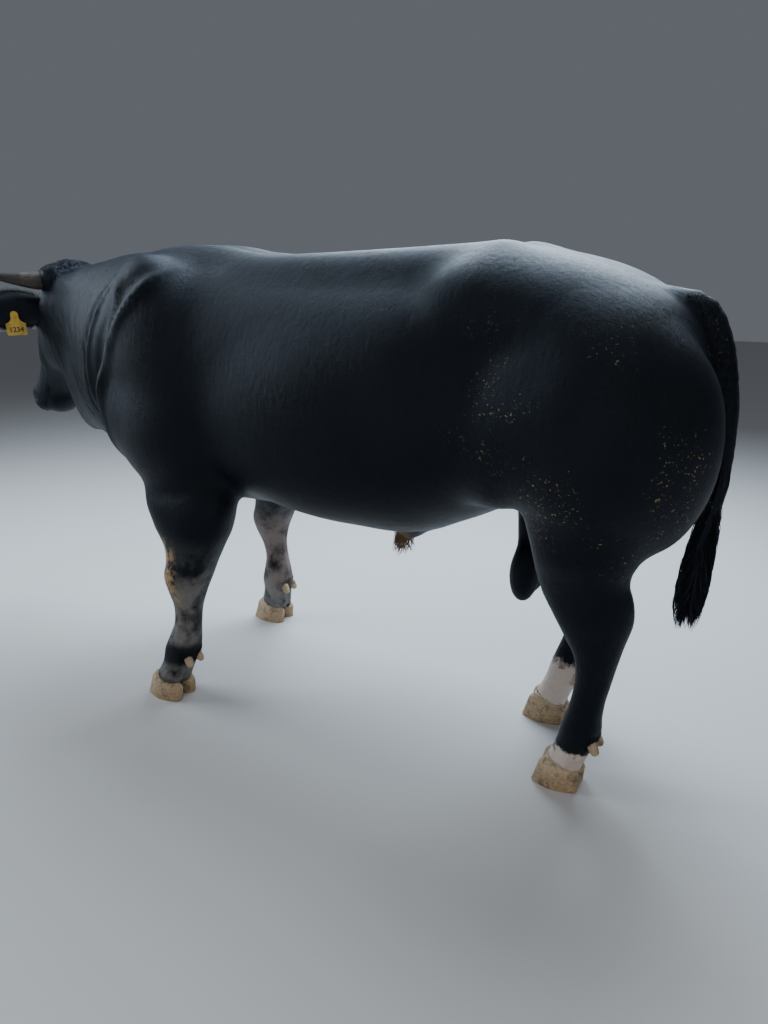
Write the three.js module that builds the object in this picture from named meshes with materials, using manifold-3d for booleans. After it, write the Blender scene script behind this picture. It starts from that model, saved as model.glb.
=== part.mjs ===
// A heavily muscled black beef bull, standing. Millimetres, +Z up, the head towards -X, its left side towards -Y.
// The body is a set of smooth fields, one for each mass of flesh, and every node is a closed skin cast on them.
import * as THREE from "three";
import Module from "manifold-3d";

const wasm = await Module();
wasm.setup();

// Driving dimensions
const WITHERS = 1450; // height of the shoulders
const RUMP_END = 890; // from the middle of the barrel to the tail's root, between the thighs
const NECK_CUT = -905; // where the neck meets the trunk
const GAP = 0.35; // between touching nodes
const CAST_STEPS = 14; // halvings that place a vertex on its surface

// Small maths
const vec = (x, y, z) => new THREE.Vector3(x, y, z);
const degrees = THREE.MathUtils.degToRad;
const clamp = THREE.MathUtils.clamp;
const lerp = THREE.MathUtils.lerp;
const WORLD = { x: vec(1, 0, 0), y: vec(0, 1, 0), z: vec(0, 0, 1) };
const evenly = (from, to, count) =>
  Array.from({ length: count }, (_, i) => from + ((to - from) * i) / (count - 1));

// The union of two fields, rounded over a width k where they meet.
function blend(a, b, k) {
  const h = Math.max(k - Math.abs(a - b), 0) / k;
  return Math.min(a, b) - h * h * k * 0.25;
}

// A smooth curve through values at increasing keys, with the slope of its neighbours at each key.
function curve(keys, values) {
  const last = keys.length - 1;
  const slope = keys.map((_, i) => {
    const lo = Math.max(i - 1, 0);
    const hi = Math.min(i + 1, last);
    return (values[hi] - values[lo]) / (keys[hi] - keys[lo]);
  });
  return (t) => {
    const s = clamp(t, keys[0], keys[last]);
    let i = 0;
    while (i < last - 1 && s > keys[i + 1]) i++;
    const span = keys[i + 1] - keys[i];
    const u = (s - keys[i]) / span;
    const rest = 1 - u;
    return (
      values[i] * (1 + 2 * u) * rest * rest +
      slope[i] * span * u * rest * rest +
      values[i + 1] * u * u * (3 - 2 * u) -
      slope[i + 1] * span * u * u * rest
    );
  };
}

// Rows of sizes to one curve for each column after the first, which holds the place along the axis.
function columns(rows) {
  const sorted = [...rows].sort((a, b) => a[0] - b[0]);
  const keys = sorted.map((row) => row[0]);
  const made = sorted[0].slice(1).map((_, c) => curve(keys, sorted.map((row) => row[c + 1])));
  return { made, from: keys[0], to: keys[keys.length - 1] };
}

// How far (u, v) lies outside an oval with half sizes a and b and the roundness n.
function oval(u, v, a, b, n) {
  const r = Math.hypot(u, v);
  if (r < 1e-6) return -Math.min(a, b);
  const norm = Math.pow(Math.pow(Math.abs(u) / a, n) + Math.pow(Math.abs(v) / b, n), 1 / n);
  return r - r / norm;
}

// Closes a field past the ends of its axis.
function pastEnd(d, t, from, to) {
  const over = Math.max(from - t, t - to, 0);
  return over > 0 ? Math.hypot(Math.max(d, 0), over) : d;
}

// A lump of flesh: an ellipsoid, turned about X, then Z, then Y.
function lump([x, y, z], [a, b, c], [turnY = 0, turnZ = 0, turnX = 0] = []) {
  const euler = new THREE.Euler(degrees(turnX), degrees(turnY), degrees(turnZ), "YZX");
  const e = new THREE.Matrix4().makeRotationFromEuler(euler).transpose().elements;
  return (px, py, pz) => {
    const dx = px - x;
    const dy = py - y;
    const dz = pz - z;
    const u = (e[0] * dx + e[4] * dy + e[8] * dz) / a;
    const v = (e[1] * dx + e[5] * dy + e[9] * dz) / b;
    const w = (e[2] * dx + e[6] * dy + e[10] * dz) / c;
    const k0 = Math.hypot(u, v, w);
    const k1 = Math.hypot(u / a, v / b, w / c);
    return k1 < 1e-9 ? -Math.min(a, b, c) : (k0 * (k0 - 1)) / k1;
  };
}

// A rope of flesh between two points, with a radius at each.
function rope([ax, ay, az], [bx, by, bz], ra, rb) {
  const ux = bx - ax;
  const uy = by - ay;
  const uz = bz - az;
  const square = ux * ux + uy * uy + uz * uz;
  return (px, py, pz) => {
    const h = clamp(((px - ax) * ux + (py - ay) * uy + (pz - az) * uz) / square, 0, 1);
    return Math.hypot(px - ax - h * ux, py - ay - h * uy, pz - az - h * uz) - (ra + (rb - ra) * h);
  };
}

// The trunk and neck: x, then back line, belly line, half width, height of the widest line,
// sideways bend and roundness.
const TRUNK = columns([
  [-1440, 1210, 1060, 24, 1130, 26, 2.0],
  [-1405, 1300, 940, 66, 1140, 26, 2.0],
  [-1370, 1332, 862, 92, 1135, 24, 2.1],
  [-1320, 1362, 798, 114, 1130, 22, 2.2],
  [-1230, 1398, 796, 158, 1110, 16, 2.2],
  [-1130, 1417, 776, 202, 1080, 8, 2.1],
  [-1020, 1436, 764, 248, 1060, 2, 2.0],
  [-900, WITHERS - 6, 704, 292, 1030, 0, 2.2],
  [-760, WITHERS, 655, 318, 1010, 0, 2.3],
  [-600, WITHERS - 8, 648, 322, 1000, 0, 2.3],
  [-430, WITHERS - 26, 655, 322, 995, 0, 2.3],
  [-250, WITHERS - 36, 656, 334, 985, 0, 2.3],
  [-50, WITHERS - 38, 636, 350, 975, 0, 2.3],
  [130, WITHERS - 26, 642, 350, 985, 0, 2.3],
  [280, WITHERS - 8, 700, 326, 1015, 0, 2.2],
  [420, WITHERS - 2, 772, 296, 1050, 0, 2.1],
  [560, WITHERS - 36, 800, 278, 1065, 0, 2.0],
  [700, WITHERS - 84, 815, 250, 1070, 0, 2.0],
  [800, WITHERS - 134, 840, 200, 1075, 0, 2.0],
  [RUMP_END - 40, WITHERS - 186, 890, 140, 1080, 0, 2.0],
  [RUMP_END, WITHERS - 280, 1000, 50, 1080, 0, 2.0],
]);

function barrel(x, y, z) {
  const [top, bottom, half, wide, bend, round] = TRUNK.made.map((f) => f(x));
  const v = z - wide;
  const d = oval(y - bend, v, half, v > 0 ? top - wide : wide - bottom, round);
  return pastEnd(d, x, TRUNK.from, TRUNK.to);
}

// The muscles of one side: a place, half sizes and turn, and how softly each blends.
const MUSCLES = [
  { what: "shoulder blade", f: lump([-690, 215, 1150], [150, 118, 290], [-18]), k: 90 },
  { what: "upper arm", f: lump([-680, 262, 880], [190, 110, 165], [20, 8]), k: 70 },
  { what: "point of the shoulder", f: lump([-838, 205, 936], [104, 98, 132], [-14]), k: 70 },
  { what: "breast", f: lump([-862, 72, 792], [116, 106, 116], [25]), k: 70 },
  { what: "withers", f: lump([-640, 60, 1385], [210, 62, 68]), k: 60 },
  { what: "loin", f: rope([-420, 92, 1350], [360, 118, 1376], 74, 84), k: 50 },
  { what: "ribs", f: lump([-150, 190, 960], [330, 176, 250]), k: 80 },
  { what: "hip bone", f: lump([352, 206, 1316], [120, 76, 82], [10, -20]), k: 90 },
  { what: "rump", f: lump([560, 150, 1258], [270, 165, 150], [18]), k: 90 },
  { what: "outer thigh", f: lump([650, 232, 1030], [220, 158, 285], [-4]), k: 60 },
  { what: "back of the thigh", f: lump([775, 168, 985], [160, 150, 268], [4]), k: 50 },
  { what: "front of the thigh", f: lump([456, 226, 1000], [118, 108, 200], [18]), k: 80 },
];

function trunk(x, y, z) {
  const side = Math.abs(y);
  let d = barrel(x, y, z);
  for (const muscle of MUSCLES) d = blend(d, muscle.f(x, side, z), muscle.k);
  return d;
}

// Legs: height, then the middle's x and y, half depth and half width.
const FORE_ROWS = [
  [960, -650, -170, 80, 40],
  [860, -630, -205, 118, 70],
  [760, -606, -240, 152, 92],
  [690, -592, -264, 164, 104],
  [610, -570, -284, 134, 101],
  [555, -560, -297, 102, 87],
  [500, -568, -305, 86, 78],
  [450, -583, -310, 80, 76],
  [400, -590, -312, 66, 62],
  [340, -592, -314, 50, 45],
  [280, -598, -316, 47, 43],
  [225, -613, -318, 55, 52],
  [185, -625, -320, 61, 57],
  [135, -642, -323, 56, 55],
  [90, -664, -326, 58, 57],
  [40, -690, -328, 62, 58],
];
const HIND_ROWS = [
  [1040, 660, -160, 60, 40],
  [930, 652, -185, 100, 60],
  [850, 646, -205, 128, 80],
  [780, 644, -214, 140, 92],
  [710, 650, -212, 132, 90],
  [650, 650, -205, 120, 72],
  [595, 666, -200, 119, 62],
  [545, 681, -197, 107, 58],
  [485, 691, -193, 83, 51],
  [420, 700, -188, 59, 43],
  [360, 697, -183, 50, 38],
  [295, 688, -177, 47, 37],
  [240, 679, -171, 50, 42],
  [195, 673, -166, 56, 48],
  [145, 660, -161, 54, 48],
  [95, 640, -156, 56, 50],
  [40, 618, -152, 60, 54],
];
const FORE_STEP = curve([40, 200, 450, 700, 900], [-40, -82, -124, -50, 0]); // the right fore foot leads
const HIND_STEP = curve([40, 250, 560, 760, 900], [-134, -126, -90, -45, 0]); // so does the right hind foot
const LEG_BLEND = 50;
const LEG_REACH = 40; // how far the leg's skin spreads on the trunk

function leg(name, rows, side, step) {
  const placed = rows.map(([z, x, y, a, b]) => [z, x + (side > 0 ? step(z) : 0), y * -side, a, b]);
  const { made, from, to } = columns(placed);
  const field = (x, y, z) => {
    const [cx, cy, a, b] = made.map((f) => f(z));
    return pastEnd(oval(x - cx, y - cy, a, b, 2.2), z, from, to);
  };
  const joined = (x, y, z) => {
    const own = field(x, y, z);
    return Math.max(blend(own, trunk(x, y, z), LEG_BLEND), own - LEG_REACH);
  };
  return { name, side, joined, from, middle: (z) => vec(made[0](z), made[1](z), z) };
}
const LEGS = [
  { fore: true, ...leg("fore_leg_left", FORE_ROWS, -1, FORE_STEP) },
  { fore: true, ...leg("fore_leg_right", FORE_ROWS, 1, FORE_STEP) },
  { fore: false, ...leg("hind_leg_left", HIND_ROWS, -1, HIND_STEP) },
  { fore: false, ...leg("hind_leg_right", HIND_ROWS, 1, HIND_STEP) },
];

// The head, in its own frame: t runs from the poll to the muzzle, s to the animal's left, v out of the forehead.
const HEAD_YAW = degrees(16); // turned to the animal's right
const HEAD_DROP = degrees(54); // the face below level
const POLL = vec(-1377, 30, 1380);
const AHEAD = vec(-Math.cos(HEAD_YAW), Math.sin(HEAD_YAW), 0);
const LEFT = vec(-Math.sin(HEAD_YAW), -Math.cos(HEAD_YAW), 0);
const DOWN_FACE = AHEAD.clone().multiplyScalar(Math.cos(HEAD_DROP)).setZ(-Math.sin(HEAD_DROP));
const OFF_FACE = AHEAD.clone().multiplyScalar(Math.sin(HEAD_DROP)).setZ(Math.cos(HEAD_DROP));
const headPoint = (t, s, v) =>
  POLL.clone().addScaledVector(DOWN_FACE, t).addScaledVector(LEFT, s).addScaledVector(OFF_FACE, v);
const HEAD_TURN = new THREE.Matrix4().makeBasis(DOWN_FACE, LEFT, OFF_FACE).setPosition(POLL);
const EYE = { t: 168, s: 107, v: -50, r: 21 };
const LID = 6;

// Rows: t, forehead line, jaw line, half width, where it is widest.
const SKULL = columns([
  [-30, -4, -150, 80, -70],
  [20, 18, -175, 98, -75],
  [80, 30, -205, 116, -70],
  [150, 30, -238, 126, -72],
  [220, 22, -240, 116, -84],
  [300, 8, -212, 99, -88],
  [380, -4, -180, 85, -88],
  [450, -12, -160, 83, -88],
  [518, -20, -156, 91, -90],
  [560, -34, -150, 84, -92],
  [588, -62, -130, 60, -96],
]);
const FACE = [
  { what: "brow", f: lump([150, 98, -22], [46, 30, 24], [8]), k: 30 },
  { what: "eyeball bulge", f: lump([EYE.t, EYE.s - 4, EYE.v], [34, 30, 30]), k: 24 },
  { what: "cheek", f: lump([205, 73, -160], [98, 44, 74], [8]), k: 46 },
  { what: "cheek bone", f: lump([270, 83, -80], [90, 20, 20], [6]), k: 34 },
  { what: "nostril wing", f: lump([546, 56, -58], [40, 32, 34]), k: 26 },
  { what: "upper lip", f: lump([558, 40, -104], [32, 52, 34]), k: 26 },
  { what: "chin", f: lump([530, 0, -150], [46, 54, 28], [-6]), k: 26 },
  { what: "poll", f: lump([10, 0, -6], [54, 84, 36]), k: 40 },
  { what: "ear root", f: lump([112, 96, -86], [36, 34, 40]), k: 40 },
  { what: "horn root", f: lump([18, 84, -22], [42, 34, 40]), k: 34 },
];

function headLocal(t, s, v) {
  const [top, bottom, half, wide] = SKULL.made.map((f) => f(t));
  const up = v - wide;
  let d = pastEnd(oval(s, up, half, up > 0 ? top - wide : wide - bottom, 2.3), t, SKULL.from, SKULL.to);
  for (const part of FACE) d = blend(d, part.f(t, Math.abs(s), v), part.k);
  return d;
}
function head(x, y, z) {
  const dx = x - POLL.x;
  const dy = y - POLL.y;
  const dz = z - POLL.z;
  return headLocal(
    DOWN_FACE.x * dx + DOWN_FACE.y * dy + DOWN_FACE.z * dz,
    LEFT.x * dx + LEFT.y * dy,
    OFF_FACE.x * dx + OFF_FACE.y * dy + OFF_FACE.z * dz,
  );
}
const THROAT_BLEND = 70;
const THROAT_REACH = 55;
function neck(x, y, z) {
  const own = trunk(x, y, z);
  return Math.max(blend(own, head(x, y, z), THROAT_BLEND), own - THROAT_REACH);
}

// How far a ray from inside the field runs until the field reaches a level.
function castRay(field, from, way, level) {
  const at = (r) => field(from.x + way.x * r, from.y + way.y * r, from.z + way.z * r) - level;
  let inside = 0;
  let outside = 0;
  let d = at(0);
  while (d < 0) {
    inside = outside;
    outside += Math.max(-d * 0.6, 4);
    d = at(outside);
  }
  for (let i = 0; i < CAST_STEPS; i++) {
    const middle = (inside + outside) / 2;
    if (at(middle) < 0) inside = middle;
    else outside = middle;
  }
  return (inside + outside) / 2;
}

// Points and triangles to a geometry.
function geometryFrom(points, index) {
  const geometry = new THREE.BufferGeometry();
  geometry.setAttribute("position", new THREE.Float32BufferAttribute(points.flatMap((p) => p.toArray()), 3));
  geometry.setIndex(index);
  return geometry;
}

// Rings of points to a closed geometry, with a point at each end.
function closed(rings, start, end) {
  const sides = rings[0].length;
  const points = [...rings.flat(), start, end];
  const index = [];
  rings.forEach((_, i) => {
    for (let j = 0; j < sides; j++) {
      const a = i * sides + j;
      const b = i * sides + ((j + 1) % sides);
      if (i === 0) index.push(points.length - 2, b, a);
      if (i === rings.length - 1) index.push(points.length - 1, a, b);
      else index.push(a, b, b + sides, a, b + sides, a + sides);
    }
  });
  return geometryFrom(points, index);
}

// A closed skin cast on a field from an axis. Each ring has a place on the axis and a lean: 0 is square
// to the axis, and leaning rings close a round end like a fan. A flat end is closed in its own plane.
function skin(field, { rings, sides, place, u, v, w, level = 0, roundStart, roundEnd }) {
  const cast = (from, way) => from.clone().addScaledVector(way, castRay(field, from, way, level));
  const made = rings.map(({ at, lean = 0 }) =>
    evenly(0, 2 * Math.PI, sides + 1).slice(0, sides).map((turn) => {
      const way = vec(0, 0, 0)
        .addScaledVector(u, Math.cos(turn) * Math.cos(lean))
        .addScaledVector(v, Math.sin(turn) * Math.cos(lean))
        .addScaledVector(w, Math.sin(lean));
      return cast(place(at), way);
    }),
  );
  const first = place(rings[0].at);
  const last = place(rings[rings.length - 1].at);
  const start = roundStart ? cast(first, w.clone().negate()) : first;
  const end = roundEnd ? cast(last, w) : last;
  return closed(made, start, end);
}
const straight = (from, to, count) => evenly(from, to, count).map((at) => ({ at }));
const fan = (at, count, sign) =>
  evenly(90 / (count + 1), (90 * count) / (count + 1), count).map((a) => ({ at, lean: sign * degrees(a) }));

// Turns a closed geometry into a solid, and back.
function solid(geometry) {
  return new wasm.Manifold(
    new wasm.Mesh({
      numProp: 3,
      vertProperties: new Float32Array(geometry.getAttribute("position").array),
      triVerts: new Uint32Array(geometry.index.array),
    }),
  );
}
function geometryOf(made) {
  const mesh = made.decompose().sort((a, b) => b.volume() - a.volume())[0].getMesh();
  const geometry = new THREE.BufferGeometry();
  geometry.setAttribute("position", new THREE.BufferAttribute(new Float32Array(mesh.vertProperties), 3));
  geometry.setIndex(new THREE.BufferAttribute(new Uint32Array(mesh.triVerts), 1));
  geometry.computeVertexNormals();
  return geometry;
}

// One of the library's own shapes as a solid, with the corners that share a place made one.
function shape(source, matrix) {
  const geometry = matrix ? source.applyMatrix4(matrix) : source;
  const position = geometry.getAttribute("position");
  const seen = new Map();
  const points = [];
  const welded = [];
  for (let i = 0; i < position.count; i++) {
    const p = vec(position.getX(i), position.getY(i), position.getZ(i));
    const key = p.toArray().map((n) => n.toFixed(3)).join();
    if (!seen.has(key)) {
      seen.set(key, points.length);
      points.push(p);
    }
    welded.push(seen.get(key));
  }
  const corners = geometry.index ? [...geometry.index.array] : welded.map((_, i) => i);
  const index = [];
  for (let i = 0; i < corners.length; i += 3) {
    const [a, b, c] = corners.slice(i, i + 3).map((n) => welded[n]);
    if (a !== b && b !== c && a !== c) index.push(a, b, c);
  }
  return solid(geometryFrom(points, index));
}

// A tapering tube along part of a path, with half sizes across it at even steps.
function tube(path, [from, to], sizes, sides, across, steps) {
  const widths = curve(evenly(from, to, sizes.length), sizes.map((size) => size[0]));
  const depths = curve(evenly(from, to, sizes.length), sizes.map((size) => size[1]));
  const rings = evenly(from, to, steps).map((t) => {
    const way = path.getTangentAt(t);
    const first = across.clone().addScaledVector(way, -across.dot(way)).normalize();
    const second = way.clone().cross(first);
    return evenly(0, 2 * Math.PI, sides + 1).slice(0, sides).map((turn) =>
      path
        .getPointAt(t)
        .addScaledVector(first, widths(t) * Math.cos(turn))
        .addScaledVector(second, depths(t) * Math.sin(turn)),
    );
  });
  return solid(closed(rings, path.getPointAt(from), path.getPointAt(to)));
}

const nodes = new Map();
const ALONG_X = { u: WORLD.y, v: WORLD.z, w: WORLD.x };
const ALONG_Z = { u: WORLD.x, v: WORLD.y, w: WORLD.z };
const SIDES = [["left", 1], ["right", -1]];

// Trunk
const TRUNK_END = 700; // where the rings start to lean round the rump
const TRUNK_SIDES = 38;
const spine = (x) => vec(x, TRUNK.made[4](x), TRUNK.made[3](x));
function castTrunk(level, from) {
  const rings = [...straight(NECK_CUT, TRUNK_END, 29), ...fan(TRUNK_END, 6, 1)];
  rings[0] = { at: from };
  return solid(skin(trunk, { ...ALONG_X, rings, sides: TRUNK_SIDES, place: spine, level, roundEnd: true }));
}
const torsoClear = castTrunk(GAP, NECK_CUT - GAP);
nodes.set("torso", castTrunk(0, NECK_CUT));

// Head, with lids over the eyes, nostrils and the line of the mouth
const HEAD_START = 60;
const HEAD_END = 500;
const LIP_DEPTH = 9;
const LIP_CORNER = 425;
const headAxis = (t) => vec(t, 0, lerp(-80, -92, t / HEAD_END));
function castHead(level, sides = 32, count = 15) {
  const rings = [
    ...fan(HEAD_START, 5, -1).reverse(),
    ...straight(HEAD_START, HEAD_END, count),
    ...fan(HEAD_END, 5, 1),
  ];
  const way = { ...ALONG_X, roundStart: true, roundEnd: true };
  return solid(skin(headLocal, { ...way, rings, sides, place: headAxis, level }).applyMatrix4(HEAD_TURN));
}
const headClear = castHead(GAP);
function ball(radius, t, s, v, [a, b, c], detail) {
  const sphere = new THREE.SphereGeometry(radius, detail, Math.round(detail * 0.7)).scale(a, b, c);
  return shape(sphere.translate(t, s, v), HEAD_TURN);
}
const eyeball = (radius, side) => ball(radius, EYE.t, side * EYE.s, EYE.v, [1, 1, 1], 12);
function slit(side) {
  const almond = new THREE.Shape();
  almond.moveTo(-19, -3);
  almond.quadraticCurveTo(-2, 14, 20, 4);
  almond.quadraticCurveTo(2, -12, -19, -3);
  const reach = 60;
  const lens = new THREE.ExtrudeGeometry(almond, { depth: reach, bevelEnabled: false, curveSegments: 5 });
  lens.rotateX(Math.PI / 2).translate(0, side > 0 ? reach : 0, 0);
  return shape(lens.translate(EYE.t, side * EYE.s, EYE.v), HEAD_TURN);
}
function mouth() {
  const line = new THREE.Shape();
  line.moveTo(LIP_CORNER, -128);
  line.quadraticCurveTo(500, -140, 640, -122);
  line.lineTo(640, -117);
  line.quadraticCurveTo(500, -134, LIP_CORNER, -128);
  const slab = new THREE.ExtrudeGeometry(line, { depth: 300, bevelEnabled: false, curveSegments: 6 });
  return shape(slab.rotateX(Math.PI / 2).translate(0, 150, 0), HEAD_TURN).subtract(castHead(-LIP_DEPTH, 20, 10));
}
let headSolid = castHead(0);
for (const [name, side] of SIDES) {
  const lid = ball(EYE.r + LID, EYE.t, side * EYE.s, EYE.v, [1.15, 1, 0.95], 14);
  const nostril = ball(13, 575, side * 36, -56, [1.5, 0.75, 1.25], 12);
  headSolid = headSolid.add(lid).subtract(slit(side)).subtract(eyeball(EYE.r + GAP, side)).subtract(nostril);
  nodes.set(`eye_${name}`, eyeball(EYE.r, side));
}
nodes.set("head", headSolid.subtract(mouth()));

// Neck
const NECK_FRONT = -1438;
const neckRings = straight(NECK_FRONT, NECK_CUT - GAP, 15);
const castNeck = (level) =>
  solid(skin(neck, { ...ALONG_X, rings: neckRings, sides: TRUNK_SIDES, place: spine, level }));
const neckClear = castNeck(GAP);
let neckSolid = castNeck(0).subtract(headClear);

// Legs, each cut off on a slope above its two claws
const CORONET = 74; // height of the top of the hoof at the middle of the foot
const CORONET_RISE = 0.36; // it climbs towards the toe
function belowCoronet(foot) {
  const block = new THREE.BoxGeometry(600, 300, 400).translate(0, 0, -200);
  return shape(block.rotateY(Math.atan(CORONET_RISE)).translate(foot.x, foot.y, CORONET));
}
for (const part of LEGS) {
  const top = part.fore ? 950 : 1030;
  const rings = [...straight(part.from + 2, 250, 6), ...straight(295, 600, 7), ...straight(650, top, 6)];
  const cast = (level) =>
    solid(skin(part.joined, { ...ALONG_Z, rings, sides: 18, place: part.middle, level }));
  part.foot = part.middle(CORONET);
  part.clear = cast(GAP);
  nodes.set(part.name, cast(0).subtract(torsoClear).subtract(belowCoronet(part.foot)));
}

// Claws: two to a foot, each with a flat sole, a sloped top and a longer toe
const CLAW = { half: 27, cleft: 2.2, length: 60, toe: 16, spread: 5, sides: 14 };
function claw(part, away) {
  const { foot } = part;
  const size = part.fore ? 1.04 : 0.98;
  const rings = [0, 0.16, 0.55, 1].map((rise) => {
    const length = size * lerp(CLAW.length + 8, CLAW.length - 2, rise);
    const half = size * lerp(CLAW.half + 2, CLAW.half, rise);
    const middle = foot.x - lerp(CLAW.toe, 0, rise);
    return evenly(0, 2 * Math.PI, CLAW.sides + 1).slice(0, CLAW.sides).map((turn) => {
      const x = middle + length * Math.cos(turn);
      const toe = clamp((foot.x - x) / 70, 0, 1);
      const from = CLAW.cleft + half + CLAW.spread * toe * (1 - rise);
      const y = from + half * (1 - 0.42 * toe * toe) * Math.sin(turn);
      return vec(x, foot.y + away * y, rise * (CORONET + (foot.x - x) * CORONET_RISE - GAP));
    });
  });
  if (away < 0) rings.forEach((ring) => ring.reverse());
  const inside = foot.y + away * (CLAW.half + CLAW.cleft);
  return solid(closed(rings, vec(foot.x - CLAW.toe, inside, 0), vec(foot.x, inside, CORONET - GAP)));
}
function dewclaw(part, away) {
  const at = part.middle(150);
  const body = new THREE.SphereGeometry(17, 7, 5).scale(1, 0.85, 1.3).rotateY(degrees(-28));
  return shape(body.translate(at.x + (part.fore ? 56 : 54), at.y + away * 25, at.z)).subtract(part.clear);
}
for (const part of LEGS) {
  for (const [which, away] of [["outer", part.side], ["inner", -part.side]]) {
    const name = part.name.replace("leg", which);
    nodes.set(`claw_${name}`, claw(part, away));
    nodes.set(`dewclaw_${name}`, dewclaw(part, away));
  }
}

// Horns: out, forward and up at the tips
const HORN_SIZES = [[34, 34], [32, 31], [24, 23], [16, 15], [8, 8], [2, 2]];
for (const [name, side] of SIDES) {
  const root = headPoint(30, side * 74, -14);
  const along = (out, ahead, up) =>
    root.clone().addScaledVector(LEFT, out * side).addScaledVector(AHEAD, ahead).addScaledVector(WORLD.z, up);
  const path = new THREE.CatmullRomCurve3([along(0, 0, -4), along(90, 22, 2), along(172, 70, 16), along(208, 132, 40)]);
  const horn = (extra) => tube(path, [0, 1], HORN_SIZES.map((pair) => pair.map((r) => r + extra)), 12, WORLD.z, 8);
  nodes.set(`horn_${name}`, horn(0).subtract(headClear));
  neckSolid = neckSolid.subtract(horn(3 * GAP));
}
nodes.set("neck", neckSolid);

// Ears: a cupped leaf, its hollow to the front, as a wall of two faces split into triangles alike
const EAR = { length: 275, sunk: 30, wall: 5, across: 9, steps: 11 };
const earHalf = curve([0, 0.12, 0.35, 0.6, 0.8, 0.93, 1], [30, 38, 62, 66, 50, 24, 6]);
const earWrap = curve([0, 0.15, 0.4, 0.75, 1], [125, 110, 72, 58, 40]);
function ear(side) {
  const root = headPoint(112, side * 108, -88);
  const far = AHEAD.clone().multiplyScalar(0.46).addScaledVector(LEFT, 0.86 * side).setZ(-0.02).normalize();
  const back = AHEAD.clone().multiplyScalar(-0.86).addScaledVector(LEFT, 0.46 * side).setZ(0.1);
  back.addScaledVector(far, -back.dot(far)).normalize();
  const up = far.clone().cross(back).multiplyScalar(side).normalize();
  const section = (t) => {
    const wrap = degrees(earWrap(t));
    const radius = earHalf(t) / Math.sin(Math.min(wrap, Math.PI / 2));
    const middle = root
      .clone()
      .addScaledVector(far, EAR.length * t - EAR.sunk)
      .addScaledVector(up, 12 * Math.sin(Math.PI * t))
      .addScaledVector(back, 16 * Math.sin(Math.PI * t * 0.9) - radius);
    return { wrap, radius, middle };
  };
  return { far, back, up, side, section };
}
function earShell({ back, up, side, section }) {
  const count = EAR.across * 2;
  const points = evenly(0, 1, EAR.steps).flatMap((t) => {
    const { wrap, radius, middle } = section(t);
    const thick = EAR.wall * (1 - 0.4 * t);
    const point = (turn, r) =>
      middle.clone().addScaledVector(back, r * Math.cos(turn)).addScaledVector(up, r * Math.sin(turn));
    const outer = evenly(-wrap, wrap, EAR.across).map((turn) => point(turn, radius));
    const inner = evenly(wrap * 0.97, -wrap * 0.97, EAR.across).map((turn) => point(turn, radius - thick));
    return [...outer, ...inner];
  });
  const index = [];
  const triangle = (a, b, c) => (side > 0 ? index.push(a, b, c) : index.push(b, a, c));
  const quad = (a, b, c, d) => {
    triangle(a, b, c);
    triangle(a, c, d);
  };
  for (let i = 0; i < EAR.steps - 1; i++) {
    for (let j = 0; j < count; j++) {
      const [a, b] = [i * count + j, i * count + ((j + 1) % count)];
      if (j < EAR.across) quad(a, b, b + count, a + count);
      else quad(b, b + count, a + count, a);
    }
  }
  const tip = (EAR.steps - 1) * count;
  for (let j = 0; j < EAR.across - 1; j++) {
    const twin = count - 1 - j;
    quad(j, twin, twin - 1, j + 1);
    quad(tip + j, tip + j + 1, tip + twin - 1, tip + twin);
  }
  return solid(geometryFrom(points, index));
}

// Ear tags: a flag on the back of the ear, with a pin through it to a button in the hollow
const TAG = { half: 34, foot: -74, shoulder: -32, knob: 13, thick: 3, lift: 1.5, pin: 4.2, button: 9 };
const TAG_PLACE = { along: 0.5, drop: -20 };
function tagFrame({ back, up, section }) {
  const { radius, middle } = section(TAG_PLACE.along);
  const turn = TAG_PLACE.drop / radius;
  const out = back.clone().multiplyScalar(Math.cos(turn)).addScaledVector(up, Math.sin(turn));
  const rise = up.clone().multiplyScalar(Math.cos(turn)).addScaledVector(back, -Math.sin(turn));
  const point = middle.clone().addScaledVector(out, radius + TAG.lift);
  return new THREE.Matrix4().makeBasis(rise.clone().cross(out), rise, out).setPosition(point);
}
function cylinder(radius, from, to) {
  const made = new THREE.CylinderGeometry(radius, radius, to - from, 10).rotateX(Math.PI / 2);
  return made.translate(0, 0, (from + to) / 2);
}
function tag(frame) {
  const flag = new THREE.Shape();
  flag.moveTo(-TAG.half, TAG.foot);
  flag.lineTo(TAG.half, TAG.foot);
  flag.lineTo(TAG.half, TAG.shoulder);
  flag.quadraticCurveTo(TAG.knob, -24, TAG.knob, -8);
  flag.lineTo(TAG.knob, 0);
  flag.absarc(0, 0, TAG.knob, 0, Math.PI, false);
  flag.lineTo(-TAG.knob, -8);
  flag.quadraticCurveTo(-TAG.knob, -24, -TAG.half, TAG.shoulder);
  const plate = new THREE.ExtrudeGeometry(flag, { depth: TAG.thick, bevelEnabled: false, curveSegments: 6 });
  const back = -TAG.lift - EAR.wall - 5;
  return shape(plate, frame)
    .add(shape(cylinder(TAG.pin, back, TAG.thick - 1), frame))
    .add(shape(cylinder(TAG.button - 1, TAG.thick - 1, TAG.thick + 4), frame))
    .add(shape(cylinder(TAG.button, back, back + 3), frame));
}
for (const [name, side] of SIDES) {
  const made = ear(side);
  const frame = tagFrame(made);
  const hole = shape(cylinder(TAG.pin + GAP + 0.1, -20, 8), frame);
  nodes.set(`ear_${name}`, earShell(made).subtract(headClear).subtract(neckClear).subtract(hole));
  nodes.set(`tag_${name}`, tag(frame));
}

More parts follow.
